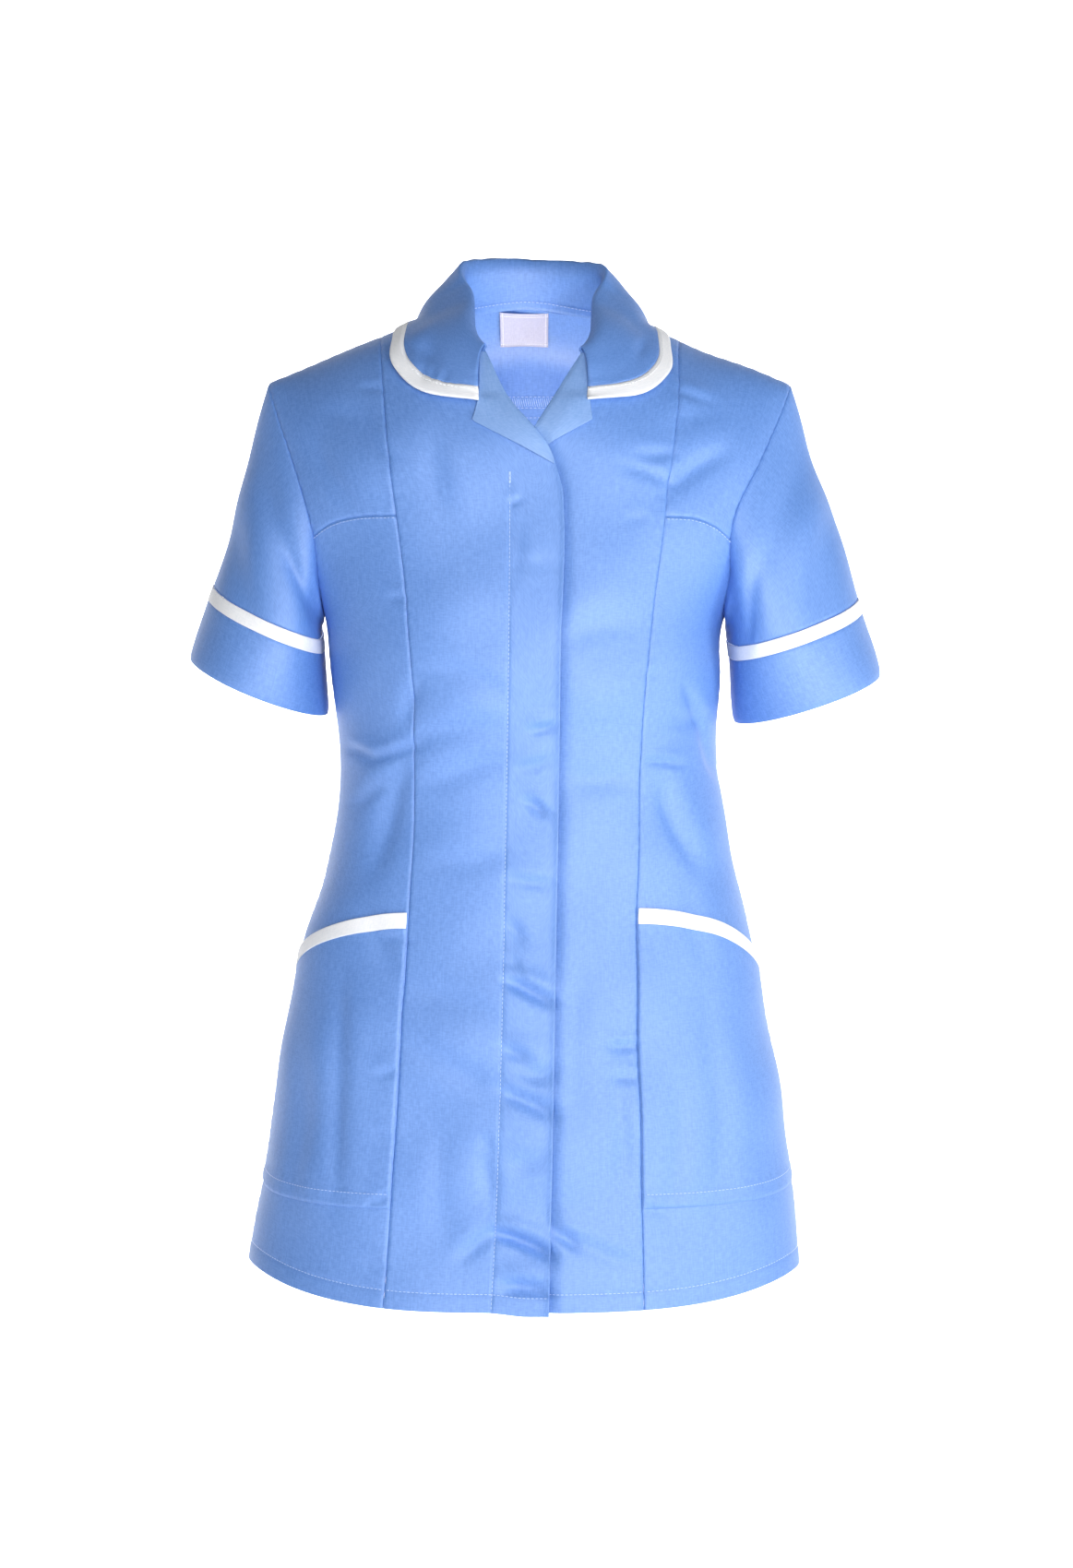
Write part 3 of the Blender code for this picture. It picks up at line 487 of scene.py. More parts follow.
# Studio.
FLOOR_Z = -1.05
FLOOR_HALF_WIDTH = 6.0
FLOOR_NEAR = -3.6
FLOOR_RUN = 5.0  # how far the floor runs back before it curves up, and how much paper there is in all
PAPER_RUN = 10.0
SWEEP = 1.2
CAMERA_PLACE = (0.0057, -3.0, -0.33835)
LENS = 63.2
SENSOR = 24.0
WORLD_LIGHT = 0.12
PAPER_GLOW = 0.45
LAMPS = (
    # name, place, aim, size, watts, colour
    ("key", (0.9, -2.3, -0.40), (0.0, 0.0, -0.34), (0.6, 0.6), 28.0, (1.0, 1.0, 1.0)),
    ("side", (2.3, -1.1, -0.28), (0.1, 0.0, -0.28), (0.7, 1.0), 19.0, (1.0, 1.0, 1.0)),
    ("front", (0.0, -2.8, -0.30), (0.0, 0.0, -0.34), (0.7, 0.7), 14.0, (1.0, 1.0, 1.0)),
    ("high", (-0.3, -2.2, 1.0), (0.0, 0.0, 0.0), (0.8, 0.8), 11.0, (0.92, 0.96, 1.0)),
    ("inside", (0.0, -0.03, -0.25), (0.0, 0.08, -0.02), (0.11, 0.06), 0.68, (1.0, 0.86, 0.58)),
    ("backdrop_right", (-1.4, 1.0, 0.0), (-0.9, 3.0, 0.0), (1.0, 1.8), 60.0, (1.0, 1.0, 1.0)),
    ("backdrop_left", (1.4, 1.0, 0.0), (0.9, 3.0, 0.0), (1.0, 1.8), 60.0, (1.0, 1.0, 1.0)),
)


# ---------------------------------------------------------------- curves


def column(table, index):
    return np.array([row[index] for row in table])


def smooth(xs, ys, at):
    """A smooth curve through the points xs, ys (xs rising), read at an array of places."""
    at = np.clip(np.asarray(at, float), xs[0], xs[-1])
    steps = np.diff(xs)
    slopes = np.diff(ys) / steps
    tangents = np.empty(len(xs))
    tangents[0], tangents[-1] = slopes[0], slopes[-1]
    tangents[1:-1] = (slopes[:-1] * steps[1:] + slopes[1:] * steps[:-1]) / (steps[1:] + steps[:-1])
    cell = np.clip(np.searchsorted(xs, at, "right") - 1, 0, len(xs) - 2)
    width = steps[cell]
    t = (at - xs[cell]) / width
    start = (1 + 2 * t) * (1 - t) ** 2 * ys[cell] + t * (1 - t) ** 2 * width * tangents[cell]
    end = t * t * (3 - 2 * t) * ys[cell + 1] + t * t * (t - 1) * width * tangents[cell + 1]
    return start + end


def read(table, index, at):
    return smooth(column(table, 0), column(table, index), at)


def ease(t):
    t = np.clip(t, 0.0, 1.0)
    return t * t * (3 - 2 * t)


def power(base, exponent):
    return np.sign(base) * np.abs(base) ** exponent


def unit(vectors):
    return vectors / np.maximum(np.linalg.norm(vectors, axis=-1, keepdims=True), 1e-12)


# ---------------------------------------------------------------- the body's surface


def ridge(x):
    """Height of the shoulder ridge over a place across the body."""
    return RIDGE_TOP - RIDGE_SLOPE * (np.hypot(x, RIDGE_SOFTNESS) - RIDGE_SOFTNESS)


def ridge_fall(x):
    return -RIDGE_SLOPE * x / np.hypot(x, RIDGE_SOFTNESS)


def rounding(side):
    return FRONT_ROUNDING if side < 0 else BACK_ROUNDING


def depth_column(side):
    return FRONT_DEPTH if side < 0 else BACK_DEPTH


def over_the_top(x, z, side):
    """From 0 on the ridge to 1 where the shoulder's rounding ends, and how steep it is there."""
    below = np.clip(1 - np.maximum(ridge(x) - z, 0) / rounding(side), 0.0, 1.0)
    return np.sqrt(np.maximum(1 - below**2, 0)), below


def body_section(x, z, side):
    """Depth of the body's section in front (side -1) or behind (side 1), without the top's rounding."""
    across = np.abs(x - read(BODY, LEAN, z)) / read(BODY, HALF_WIDTH, z)
    section = np.maximum(1 - np.minimum(across, 1.0) ** SQUARENESS, 0) ** (1 / SQUARENESS)
    return read(BODY, depth_column(side), z) * section


def body_depth(x, z, side):
    """How far the body's surface is from the plane y = 0, in front or behind."""
    return body_section(x, z, side) * over_the_top(x, z, side)[0]


def body_point(x, z, side):
    y = side * (body_depth(x, z, side) + SEAM_GAP / 2)
    return np.stack([x, y, z], axis=-1)


def body_normal(x, z, side):
    """The outward normal, from the gradient of the body's own equation."""
    step = 0.002
    half, lean = read(BODY, HALF_WIDTH, z), read(BODY, LEAN, z)
    depth = read(BODY, depth_column(side), z)
    half_z = (read(BODY, HALF_WIDTH, z + step) - read(BODY, HALF_WIDTH, z - step)) / (2 * step)
    depth_z = (read(BODY, depth_column(side), z + step) - read(BODY, depth_column(side), z - step)) / (
        2 * step
    )
    top, below = over_the_top(x, z, side)
    across = np.clip((x - lean) / half, -1.0, 1.0)
    out = np.maximum(1 - np.abs(across) ** SQUARENESS, 0) ** (1 / SQUARENESS)
    outer = out**SQUARENESS
    grad_x = power(across, SQUARENESS - 1) / half * top**2 - outer * below / rounding(side) * ridge_fall(x)
    grad_y = side * out ** (SQUARENESS - 1) / depth * top
    grad_z = (
        outer * below / rounding(side)
        - np.abs(across) ** SQUARENESS * half_z / half * top**2
        - outer * depth_z / depth * top**2
    )
    return unit(np.stack([grad_x, grad_y, grad_z], axis=-1))


def angle_of(x, z):
    """Where a place across the body lies round its section, from the middle to a side."""
    across = np.clip((x - read(BODY, LEAN, z)) / read(BODY, HALF_WIDTH, z), -1.0, 1.0)
    return np.arcsin(power(across, 1 / SECTION_POWER))


def across_at(angle, z):
    return read(BODY, LEAN, z) + read(BODY, HALF_WIDTH, z) * power(np.sin(angle), SECTION_POWER)


# ---------------------------------------------------------------- seams


def hem_z(x):
    return HEM_MIDDLE + HEM_RISE * (np.abs(x) / HEM_HALF_WIDTH) ** HEM_POWER


def armhole_up(z):
    share = np.clip((z - UNDERARM_Z) / (SHOULDER_TIP_Z - UNDERARM_Z), 0.0, 1.0)
    return np.arccos(1 - share) * 2 / math.pi


def armhole_z(up):
    return UNDERARM_Z + (SHOULDER_TIP_Z - UNDERARM_Z) * (1 - np.cos(up * math.pi / 2))


def outer_angle(z, side, hand):
    """The edge of the body's cloth, round its section: the side seam, then the armhole."""
    if side > 0:
        index = ARM_BACK
    else:
        index = ARM_FRONT_LEFT if hand > 0 else ARM_FRONT_RIGHT
    return hand * np.radians(read(ARMHOLE, index, armhole_up(z)))


def neck_curve(turn, hand):
    """x and z of the neck seam, by the turn from the middle of the back to a front end."""
    x = NECK_X + hand * NECK_HALF_WIDTH * np.sin(turn)
    along = np.cos(turn)
    z = ridge(x)
    for side, reach in ((1, NECK_BACK), (-1, NECK_FRONT)):
        here = along * side > 0
        height = ridge(x)
        for _ in range(6):
            share = np.minimum(reach * np.abs(along) / body_section(x, height, side), 0.999)
            height = ridge(x) - rounding(side) * (1 - np.sqrt(1 - share**2))
        z = np.where(here, height, z)
    return x, z


def neck_table(hand, start, end, count=40):
    turns = np.linspace(start, end, count)
    return neck_curve(turns, hand)


def front_edge(hand):
    """The front's free edge as x by z: up the lap, up the roll line and round the neck seam."""
    if hand < 0:
        lap = [FLY_EDGE[:-1], ROLL_RIGHT]
    else:
        lap = [((BODY[0][Z], UNDERLAP_X), (UNDERLAP_TOP, UNDERLAP_X)), ROLL_LEFT]
    heights, places = [], []
    for table in lap:
        xs = column(table, 0)
        fine = np.linspace(xs[0], xs[-1], 40)
        heights.append(fine)
        places.append(read(table, 1, fine))
    x, z = neck_table(hand, NECK_END, math.pi / 2)
    keep = z > heights[-1][-1] + 0.0005
    heights.append(z[keep])
    places.append(x[keep])
    return np.concatenate(heights), np.concatenate(places)


EDGE_RIGHT = front_edge(-1)
EDGE_LEFT = front_edge(1)


def front_edge_x(z, hand):
    heights, places = EDGE_LEFT if hand > 0 else EDGE_RIGHT
    return np.interp(z, heights, places)


def princess_x(z, hand):
    return read(PRINCESS_LEFT if hand > 0 else PRINCESS_RIGHT, 1, z)


def chest_z(round_it, hand):
    return read(CHEST_SEAM, 2 if hand > 0 else 1, round_it)


def yoke_seam_z(x):
    return YOKE_SEAM_Z - YOKE_SEAM_SAG * (1 - (x / YOKE_HALF_WIDTH) ** 2)


def back_neck_z(x):
    places, heights = neck_table(1, -math.pi / 2, math.pi / 2, 81)
    order = np.argsort(places)
    inside = np.interp(x, places[order], heights[order])
    return np.where(np.abs(x - NECK_X) < NECK_HALF_WIDTH, inside, ridge(x))


# ---------------------------------------------------------------- panels


def settle(x_at, z_at, start):
    """Where an edge that gives x by height meets one that gives height by x."""
    z = start
    for _ in range(60):
        z = 0.5 * z + 0.5 * z_at(x_at(z))
    return z


def straight_rows(v, low, high):
    return low + (high - low) * v


def rounded_rows(v, low, high):
    """Rows that close up towards the shoulder ridge."""
    return high - (high - low) * (1 - np.cos((1 - v) * math.pi / 2))


def knee_rows(share, knee_height):
    """Even rows, and from the knee up rows that close up towards the shoulder ridge."""

    def rows(v, low, high):
        knee = high - knee_height
        upper = high - knee_height * (1 - np.cos((1 - v) / (1 - share) * math.pi / 2))
        return np.where(v < share, low + (knee - low) * v / share, upper)

    return rows


def underarm_rows(share):
    """Even rows up to the underarm, and from there rows that open out from it."""

    def rows(v, low, high):
        reach = armhole_up(high)
        upper = armhole_z(reach * np.clip((v - share) / (1 - share), 0, 1))
        return np.where(v < share, low + (UNDERARM_Z - low) * v / share, upper)

    return rows


def panel(side, left, right, bottom, top, rows, sink=None):
    """A stretch of the body between two upright seams and two cross seams, by (u, v) from 0 to 1."""

    def place(u, v):
        def x_at(z):
            return across_at(left(z) * (1 - u) + right(z) * u, z)

        low = settle(x_at, lambda x: bottom(x, u), np.full_like(u, -0.6))
        high = settle(x_at, lambda x: top(x, u), np.full_like(u, -0.05))
        z = rows(v, low, high)
        x = x_at(z)
        normal = body_normal(x, z, side)
        point = body_point(x, z, side)
        if sink is not None:
            point = point - normal * sink(x, z)[..., None]
        return point, normal

    return place


def seam_angle(x_of_z, shift=0.0):
    return lambda z: angle_of(x_of_z(z) + shift, z)


def under_front(x, z):
    """How far the under front lies behind the upper one, near and under the lap."""
    across = np.clip(1 - (x - front_edge_x(z, -1)) / UNDERLAP_WIDTH, 0, 1) ** 2
    return UNDERLAP_DROP * across * ease((UNDERLAP_HIGH - z) / (UNDERLAP_HIGH - UNDERLAP_LOW))


def front_hem_z(x, hand):
    """The hem of a centre front; the lap's corner hangs a little lower."""
    if hand > 0:
        return hem_z(x)
    return hem_z(x) - LAP_DROP * ease((x + LAP_DROP_WIDTH) / LAP_DROP_WIDTH)


def front_centre(hand):
    return panel(
        -1,
        seam_angle(lambda z: princess_x(z, hand), -hand * SEAM_GAP / 2),
        seam_angle(lambda z: front_edge_x(z, hand)),
        lambda x, u: front_hem_z(x, hand),
        lambda x, u: ridge(x),
        knee_rows(FRONT_KNEE, FRONT_KNEE_HEIGHT),
        under_front if hand > 0 else None,
    )


def side_front(hand, bottom, top, rows):
    """A stretch of the side front, from the side seam or the armhole to the princess seam."""
    princess = seam_angle(lambda z: princess_x(z, hand), hand * SEAM_GAP / 2)
    return panel(-1, lambda z: outer_angle(z, -1, hand), princess, bottom, top, rows)


def side_front_lower(hand):
    return side_front(
        hand,
        lambda x, u: hem_z(x),
        lambda x, u: chest_z(1 - u, hand) - SEAM_GAP / 2,
        underarm_rows(LOWER_KNEE),
    )


def side_front_upper(hand):
    return side_front(
        hand,
        lambda x, u: chest_z(1 - u, hand) + SEAM_GAP / 2,
        lambda x, u: ridge(x),
        rounded_rows,
    )


def back(bottom, top, rows):
    """A stretch of the back, from one armhole or side seam to the other."""
    return panel(1, lambda z: outer_angle(z, 1, -1), lambda z: outer_angle(z, 1, 1), bottom, top, rows)


def back_panel():
    return back(
        lambda x, u: hem_z(x),
        lambda x, u: yoke_seam_z(x) - SEAM_GAP / 2,
        underarm_rows(BACK_KNEE),
    )


def back_yoke():
    return back(
        lambda x, u: yoke_seam_z(x) + SEAM_GAP / 2,
        lambda x, u: back_neck_z(x),
        rounded_rows,
    )


# ---------------------------------------------------------------- sleeves


def armhole(hand):
    """The armhole's points and normals, down the front from the shoulder tip, and up the back to it."""
    lower = np.linspace(LOWER_KNEE, 1, round((1 - LOWER_KNEE) * LOWER_CELLS) + 1)
    upper = np.linspace(0, 1, UPPER_CELLS + 1)
    back_rows = np.linspace(BACK_KNEE, 1, round((1 - BACK_KNEE) * BACK_CELLS) + 1)
    yoke_rows = np.linspace(0, 1, YOKE_CELLS + 1)
    outer = 0.0 if hand < 0 else 1.0

    def joined(first, second):
        pairs = [place(np.full_like(rows, u), rows) for place, u, rows in (first, second)]
        return [np.concatenate([one, two[1:]]) for one, two in zip(*pairs)]

    front = joined((side_front_upper(hand), 0.0, upper[::-1]), (side_front_lower(hand), 0.0, lower[::-1]))
    behind = joined((back_panel(), outer, back_rows), (back_yoke(), outer, yoke_rows))
    return front, behind


def arc_share(points):
    steps = np.linalg.norm(np.diff(points, axis=0), axis=1)
    return np.concatenate([[0], np.cumsum(steps)]) / steps.sum()


def armhole_loop(hand):
    """One closed ring of armhole points, with each one's turn, its normal and its way out."""
    (front, front_n), (behind, behind_n) = armhole(hand)
    turns = np.concatenate([arc_share(front) * math.pi, math.pi + arc_share(behind)[1:-1] * math.pi])
    points = np.concatenate([front, behind[1:-1]])
    normals = np.concatenate([front_n, behind_n[1:-1]])
    for tip in (0, len(front) - 1):
        points[tip, 1] = 0.0
    along = unit(np.roll(points, -1, axis=0) - np.roll(points, 1, axis=0))
    out = unit(np.cross(along, normals)) * hand
    flip = np.sign((out[:, 0] * hand).sum())
    return turns, points, normals, out * flip


def sleeve_surface(hand):
    """The sleeve by (ring index, distance above the hem), its own normals, and its ring's turns."""
    turns, start, body_n, out = armhole_loop(hand)
    x, z, half_width, half_depth, lean, _ = SLEEVES["left" if hand > 0 else "right"]
    lean = math.radians(lean)
    outward = np.array([hand * math.cos(lean), 0.0, math.sin(lean)])
    down = np.array([hand * math.sin(lean), 0.0, -math.cos(lean)])
    forward = np.array([0.0, -math.cos(SLEEVE_TILT), 0.0]) + down * math.sin(SLEEVE_TILT)
    ring = (
        np.array([x, 0.0, z])
        + half_width * np.cos(turns)[:, None] * outward
        + half_depth * np.sin(turns)[:, None] * forward
    )
    start = start + out * SEAM_GAP
    length = np.linalg.norm(ring - start, axis=1)
    own = np.cos(turns)[:, None] * outward / half_width + np.sin(turns)[:, None] * forward / half_depth
    own = unit(own)

    def place(index, above):
        share = np.clip(1 - above / length[index], 0, 1)
        full = SLEEVE_FULLNESS * np.sin(turns[index]) ** 2 * np.sin(math.pi * share)
        blend = ease(share / SLEEVE_BLEND)[:, None]
        normal = unit(body_n[index] * (1 - blend) + own[index] * blend)
        point = start[index] * (1 - share[:, None]) + ring[index] * share[:, None]
        return point + own[index] * full[:, None], normal

    return place, len(turns), length


# ---------------------------------------------------------------- collar


def collar_controls(around):
    """Points of the collar's section at each place round it (-1 to 1), from the neck seam to its edge."""
    round_it = np.abs(around)
    hand = np.where(around < 0, -1, 1)
    turn = round_it * NECK_END
    x, z = neck_curve(turn, hand)
    behind = np.cos(turn) > 0
    y = np.where(behind, body_depth(x, z, 1), -body_depth(x, z, -1))
    base = np.stack([x, y, z], axis=-1)
    outward = unit(np.stack([hand * np.sin(turn), np.cos(turn), 0 * turn], axis=-1))
    up = np.array([0.0, 0.0, 1.0])
    edge = np.stack(
        [
            NECK_X + hand * read(COLLAR, EDGE_OUT, round_it),
            read(COLLAR, EDGE_Y, round_it),
            read(COLLAR, EDGE_Z, round_it),
        ],
        axis=-1,
    )
    foot = base - outward * STAND_IN - up * STAND_IN * 2
    roll = base + up * read(COLLAR, STAND, round_it)[:, None]
    roll = roll - outward * read(COLLAR, LEAN_IN, round_it)[:, None]
    inner = roll - (outward * ROLL_INNER + up) * ROLL_RADIUS
    outer = roll + (outward * ROLL_OUTER - up) * ROLL_RADIUS
    fall = (outer + edge) / 2 + (outward + up) * FALL_FULLNESS
    return np.stack([foot, inner, roll, outer, fall, edge])


def height_over_body(points, side):
    """Distance of points from the body's cloth in front or behind, and the way out of it."""
    x, y, z = (points[..., i] for i in range(3))
    share = np.abs(y) / np.maximum(body_section(x, np.minimum(z, ridge(x)), side), 1e-6)
    on_top = ridge(x) - rounding(side) * (1 - np.sqrt(1 - np.minimum(share, TOP_SHARE) ** 2))
    from_top = share < TOP_SHARE
    normal = body_normal(x, np.where(from_top, on_top, np.minimum(z, ridge(x))), side)
    beside = (np.abs(y) - body_depth(x, np.minimum(z, ridge(x)), side)) * np.abs(normal[..., 1])
    return np.where(from_top, (z - on_top) * normal[..., 2], beside), normal


def clear_of_body(points, lift):
    """Moves points that are nearer the body's cloth than the lift straight out to it."""
    for _ in range(8):
        for side in (-1, 1):
            height, normal = height_over_body(points, side)
            here = (points[..., 1] * side > -0.0005) & (height < lift)
            points = np.where(here[..., None], points + normal * (lift - height)[..., None], points)
    return points


def collar_grid(around, from_edge, to_edge, rows):
    """The collar's middle surface between two distances from its outer edge; None is the neck seam."""
    controls = collar_controls(around)
    lengths = np.linalg.norm(np.diff(controls, axis=0), axis=2)
    knots = np.concatenate([np.zeros((1, len(around))), np.cumsum(lengths, axis=0)])
    grid = np.empty((len(around), rows, 3))
    for i in range(len(around)):
        start = 0.0 if from_edge is None else knots[-1, i] - from_edge
        end = knots[-1, i] - to_edge
        at = np.linspace(start, end, rows)
        for axis in range(3):
            grid[i, :, axis] = smooth(knots[:, i], controls[:, i, axis], at)
        fall = at > knots[3, i]
        lifted = clear_of_body(grid[i], COLLAR_LIFT + WALL / 2)
        grid[i] = np.where(fall[:, None], lifted, grid[i])
    return grid


def grid_normals(grid):
    across = np.gradient(grid, axis=0)
    along = np.gradient(grid, axis=1)
    return unit(np.cross(across, along))


# ---------------------------------------------------------------- creases and soft swells


def crease(x, z, start_x, start_z, end_x, end_z, width, depth):
    """One trough, soft at its ends, with a ridge along its left-hand side. Millimetres."""
    along_x, along_z = end_x - start_x, end_z - start_z
    length = math.hypot(along_x, along_z)
    along_x, along_z = along_x / length, along_z / length
    along = (x - start_x) * along_x + (z - start_z) * along_z
    aside = (z - start_z) * along_x - (x - start_x) * along_z
    waver = np.sin(along / (CREASE_FADE * length + CREASE_WAVER_RUN) + start_x)
    aside = (aside + CREASE_WAVER * width * waver) / width
    fade = CREASE_FADE * length + width
    ends = ease((along + fade) / (2 * fade)) * ease((length + fade - along) / (2 * fade))
    trough = np.exp(-(aside**2))
    bank = np.exp(-(((aside - CREASE_BANK_AT) / CREASE_BANK_WIDTH) ** 2))
    return ends * depth * CREASE_GAIN * (CREASE_BANK * bank - trough)


def swell(x, z, side):
    """The slack of worn cloth: long uneven waves, from a few sines."""
    total = np.zeros_like(x)
    for length, turn, phase, height in SWELLS:
        turn = math.radians(turn + SWELL_BACK_TURN * (side > 0))
        along = x * math.cos(turn) + z * math.sin(turn)
        total += height * np.sin(2 * math.pi * along / length + phase + SWELL_SIDE_PHASE * side)
    return total


def relief(points):
    """How far the cloth stands off its plain form at each point: its creases and swells, in metres."""
    x, z = points[..., 0] * 1000, points[..., 2] * 1000
    total = np.zeros_like(x)
    for side, creases in ((-1, FRONT_CREASES), (1, BACK_CREASES)):
        share = ease(0.5 + side * points[..., 1] / SIDE_BLEND)
        here = swell(x, z, side)
        for row in creases:
            here = here + crease(x, z, *row)
        total += share * here
    return total / 1000


# ---------------------------------------------------------------- making a sheet


def marks(length, cell, steps, lines=()):
    """Distances along a length: close together at both ends and by any stitched line, and even between."""
    count = max(2, round((length - 2 * steps[-1]) / cell) + 1)
    even = np.linspace(steps[-1], length - steps[-1], count)
    close = [line % length + off for line in lines for off in LINE_STEPS]
    ends = list(steps[:-1]) + [length - step for step in steps[:-1]]
    even = [d for d in even if all(abs(d - c) > LINE_CLEAR for c in close)]
    return np.array(sorted(ends + even + [c for c in close if 0 < c < length]))


def spread(place, axis, cell, lines=(), steps=None):
    """Where a panel's columns (axis 0) or rows (axis 1) go, from 0 to 1, for cells of one real size."""
    fine = np.linspace(0, 1, 601)
    half = np.full_like(fine, 0.5)
    point = place(fine, half)[0] if axis == 0 else place(half, fine)[0]
    run = np.concatenate([[0], np.cumsum(np.linalg.norm(np.diff(point, axis=0), axis=1))])
    return np.interp(marks(run[-1], cell, steps or EDGE_STEPS, lines), run, fine)


def run_along(points, axis):
    """Distance run from the first point, along one direction of a grid."""
    steps = np.linalg.norm(np.diff(points, axis=axis), axis=-1)
    start = np.zeros_like(np.take(steps, [0], axis=axis))
    return np.concatenate([start, np.cumsum(steps, axis=axis)], axis=axis)


def seam_dip(points, sewn, shift=0.0):
    """Cloth dips into its sewn edges and puckers beside them. sewn holds l, r, b and t."""
    across, up = run_along(points, 0), run_along(points, 1)
    total = np.zeros(points.shape[:2])
    gaps = {
        "l": (across, up),
        "r": (across[-1:] - across, up),
        "b": (up, across),
        "t": (up[:, -1:] - up, across),
    }
    for edge in sewn:
        gap, along = gaps[edge]
        total -= SEAM_DIP * np.exp(-((gap / SEAM_DIP_WIDTH) ** 2))
        wander = PUCKER_WANDER * np.sin(along / PUCKER_WANDER_EVERY + shift)
        wave = np.sin(along / PUCKER_EVERY + wander + shift)
        total += PUCKER * wave * np.exp(-((gap / PUCKER_WIDTH) ** 2))
    return total


def add_object(name, bm):
    """Turns a bmesh into a smoothly shaded object of the scene."""
    mesh = bpy.data.meshes.new(name)
    bm.to_mesh(mesh)
    bm.free()
    mesh.shade_smooth()
    thing = bpy.data.objects.new(name, mesh)
    bpy.context.scene.collection.objects.link(thing)
    return thing


def thin_sheet(name, points, normals, thickness, closed=False):
    """A thin sheet from a grid of points, with its own lengths as UVs, in metres."""
    columns, rows = points.shape[:2]
    middle = columns // 2, rows // 2
    across, up = run_along(points, 0), run_along(points, 1)
    across = across + across[middle[0]].mean() - across[middle[0]][None, :]
    coordinates = points.tolist()
    lengths = np.stack([across, up], axis=-1).tolist()
    bm = bmesh.new()
    bmesh.ops.create_grid(bm, x_segments=columns - 1, y_segments=rows - 1, size=1.0)
    uv = bm.loops.layers.uv.new("cloth")
    for vert in bm.verts:
        i = round((vert.co.x + 1) / 2 * (columns - 1))
        j = round((vert.co.y + 1) / 2 * (rows - 1))
        vert.co = coordinates[i][j]
        for loop in vert.link_loops:
            loop[uv].uv = lengths[i][j]
    if closed:
        bmesh.ops.remove_doubles(bm, verts=bm.verts, dist=1e-6)
    bm.normal_update()
    face = min(bm.faces, key=lambda f: (f.calc_center_median() - Vector(points[middle])).length)
    if face.normal.dot(Vector(normals[middle])) < 0:
        bmesh.ops.reverse_faces(bm, faces=bm.faces)
    thing = add_object(name, bm)
    wall = thing.modifiers.new("thickness", "SOLIDIFY")
    wall.thickness = thickness
    wall.offset = -1.0
    wall.use_even_offset = False
    return thing


def cloth(name, points, normals, thickness, material, closed=False):
    """A sheet of cloth that stands for its solid of the same name, which it hides; the flat size of its cut
    is worked out but not kept.
    """
    thing = thin_sheet(name + "_cloth", points, normals, thickness, closed)
    thing.data.materials.append(material)
    width = float(run_along(points, 0)[-1].max())
    length = float(run_along(points, 1)[:, -1].max())
    area = min(max(cut_area(points), CUT_LEAST * width * length), width * length)
    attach(thing, "root")
    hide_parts(name)


def cut_area(points):
    """Area of a grid of points."""
    one = np.cross(points[1:, :-1] - points[:-1, :-1], points[:-1, 1:] - points[:-1, :-1])
    two = np.cross(points[1:, :-1] - points[1:, 1:], points[:-1, 1:] - points[1:, 1:])
    return float((np.linalg.norm(one, axis=-1) + np.linalg.norm(two, axis=-1)).sum() / 2)


# ---------------------------------------------------------------- the pieces


def body_piece(name, place, material, sewn, lift=0.0, extra=None, across=(), up=()):
    """A cut piece that lies on the body's form, creased, with its sewn edges drawn in."""
    us, vs = spread(place, 0, CELL, across), spread(place, 1, CELL, up)
    u, v = np.meshgrid(us, vs, indexing="ij")
    point, normal = place(u, v)
    out = relief(point) + lift + seam_dip(point, sewn, len(name))
    if extra is not None:
        out = out + extra(point)
    point = point + normal * out[..., None]
    cloth(name, point, normal, CLOTH, material)


def hem_band(point):
    """The turned-up hem stands a little proud and dips along its stitches."""
    above = point[..., 2] - hem_z(point[..., 0])
    proud = HEM_PROUD * (1 - ease(above / HEM_DEPTH - 0.5))
    return proud - HEM_DIP * np.exp(-(((above - HEM_DEPTH) / STITCH_WIDTH) ** 2))


def lap_band(point):
    """The right front's lap: doubled cloth, dipping along the stitches that hold its facing."""
    x, z = point[..., 0], point[..., 2]
    from_stitch = x - read(FLY_STITCH, 1, z)
    low = ease((LAP_TOP - z) / LAP_TOP_FADE)
    proud = LAP_PROUD * ease(from_stitch / LAP_STEP + 0.5)
    dip = LAP_DIP * np.exp(-((from_stitch / STITCH_WIDTH) ** 2))
    from_edge = front_edge_x(z, -1) - x
    edge = LAP_EDGE_PROUD * (1 - ease(from_edge / LAP_EDGE))
    return low * (proud + edge - dip) + hem_band(point)


def make_fronts(hand, word, blue):
    """The centre front with its lap or underlap, and the side front in two pieces."""
    lower, upper = "side_front_lower_" + word, "side_front_upper_" + word
    band, lines = (lap_band, LAP_LINES) if hand < 0 else (hem_band, ())
    body_piece("front_centre_" + word, front_centre(hand), blue, "l",
               extra=band, across=lines, up=(HEM_DEPTH,))
    body_piece(lower, side_front_lower(hand), blue, "lrt",
               extra=hem_band, up=(HEM_DEPTH, -TOPSTITCH))
    body_piece(upper, side_front_upper(hand), blue, "lrbt")


def make_back(blue):
    body_piece("back_panel", back_panel(), blue, "lrt",
               extra=hem_band, up=(HEM_DEPTH,))
    body_piece("back_yoke", back_yoke(), blue, "lrbt",
               up=(TOPSTITCH,))


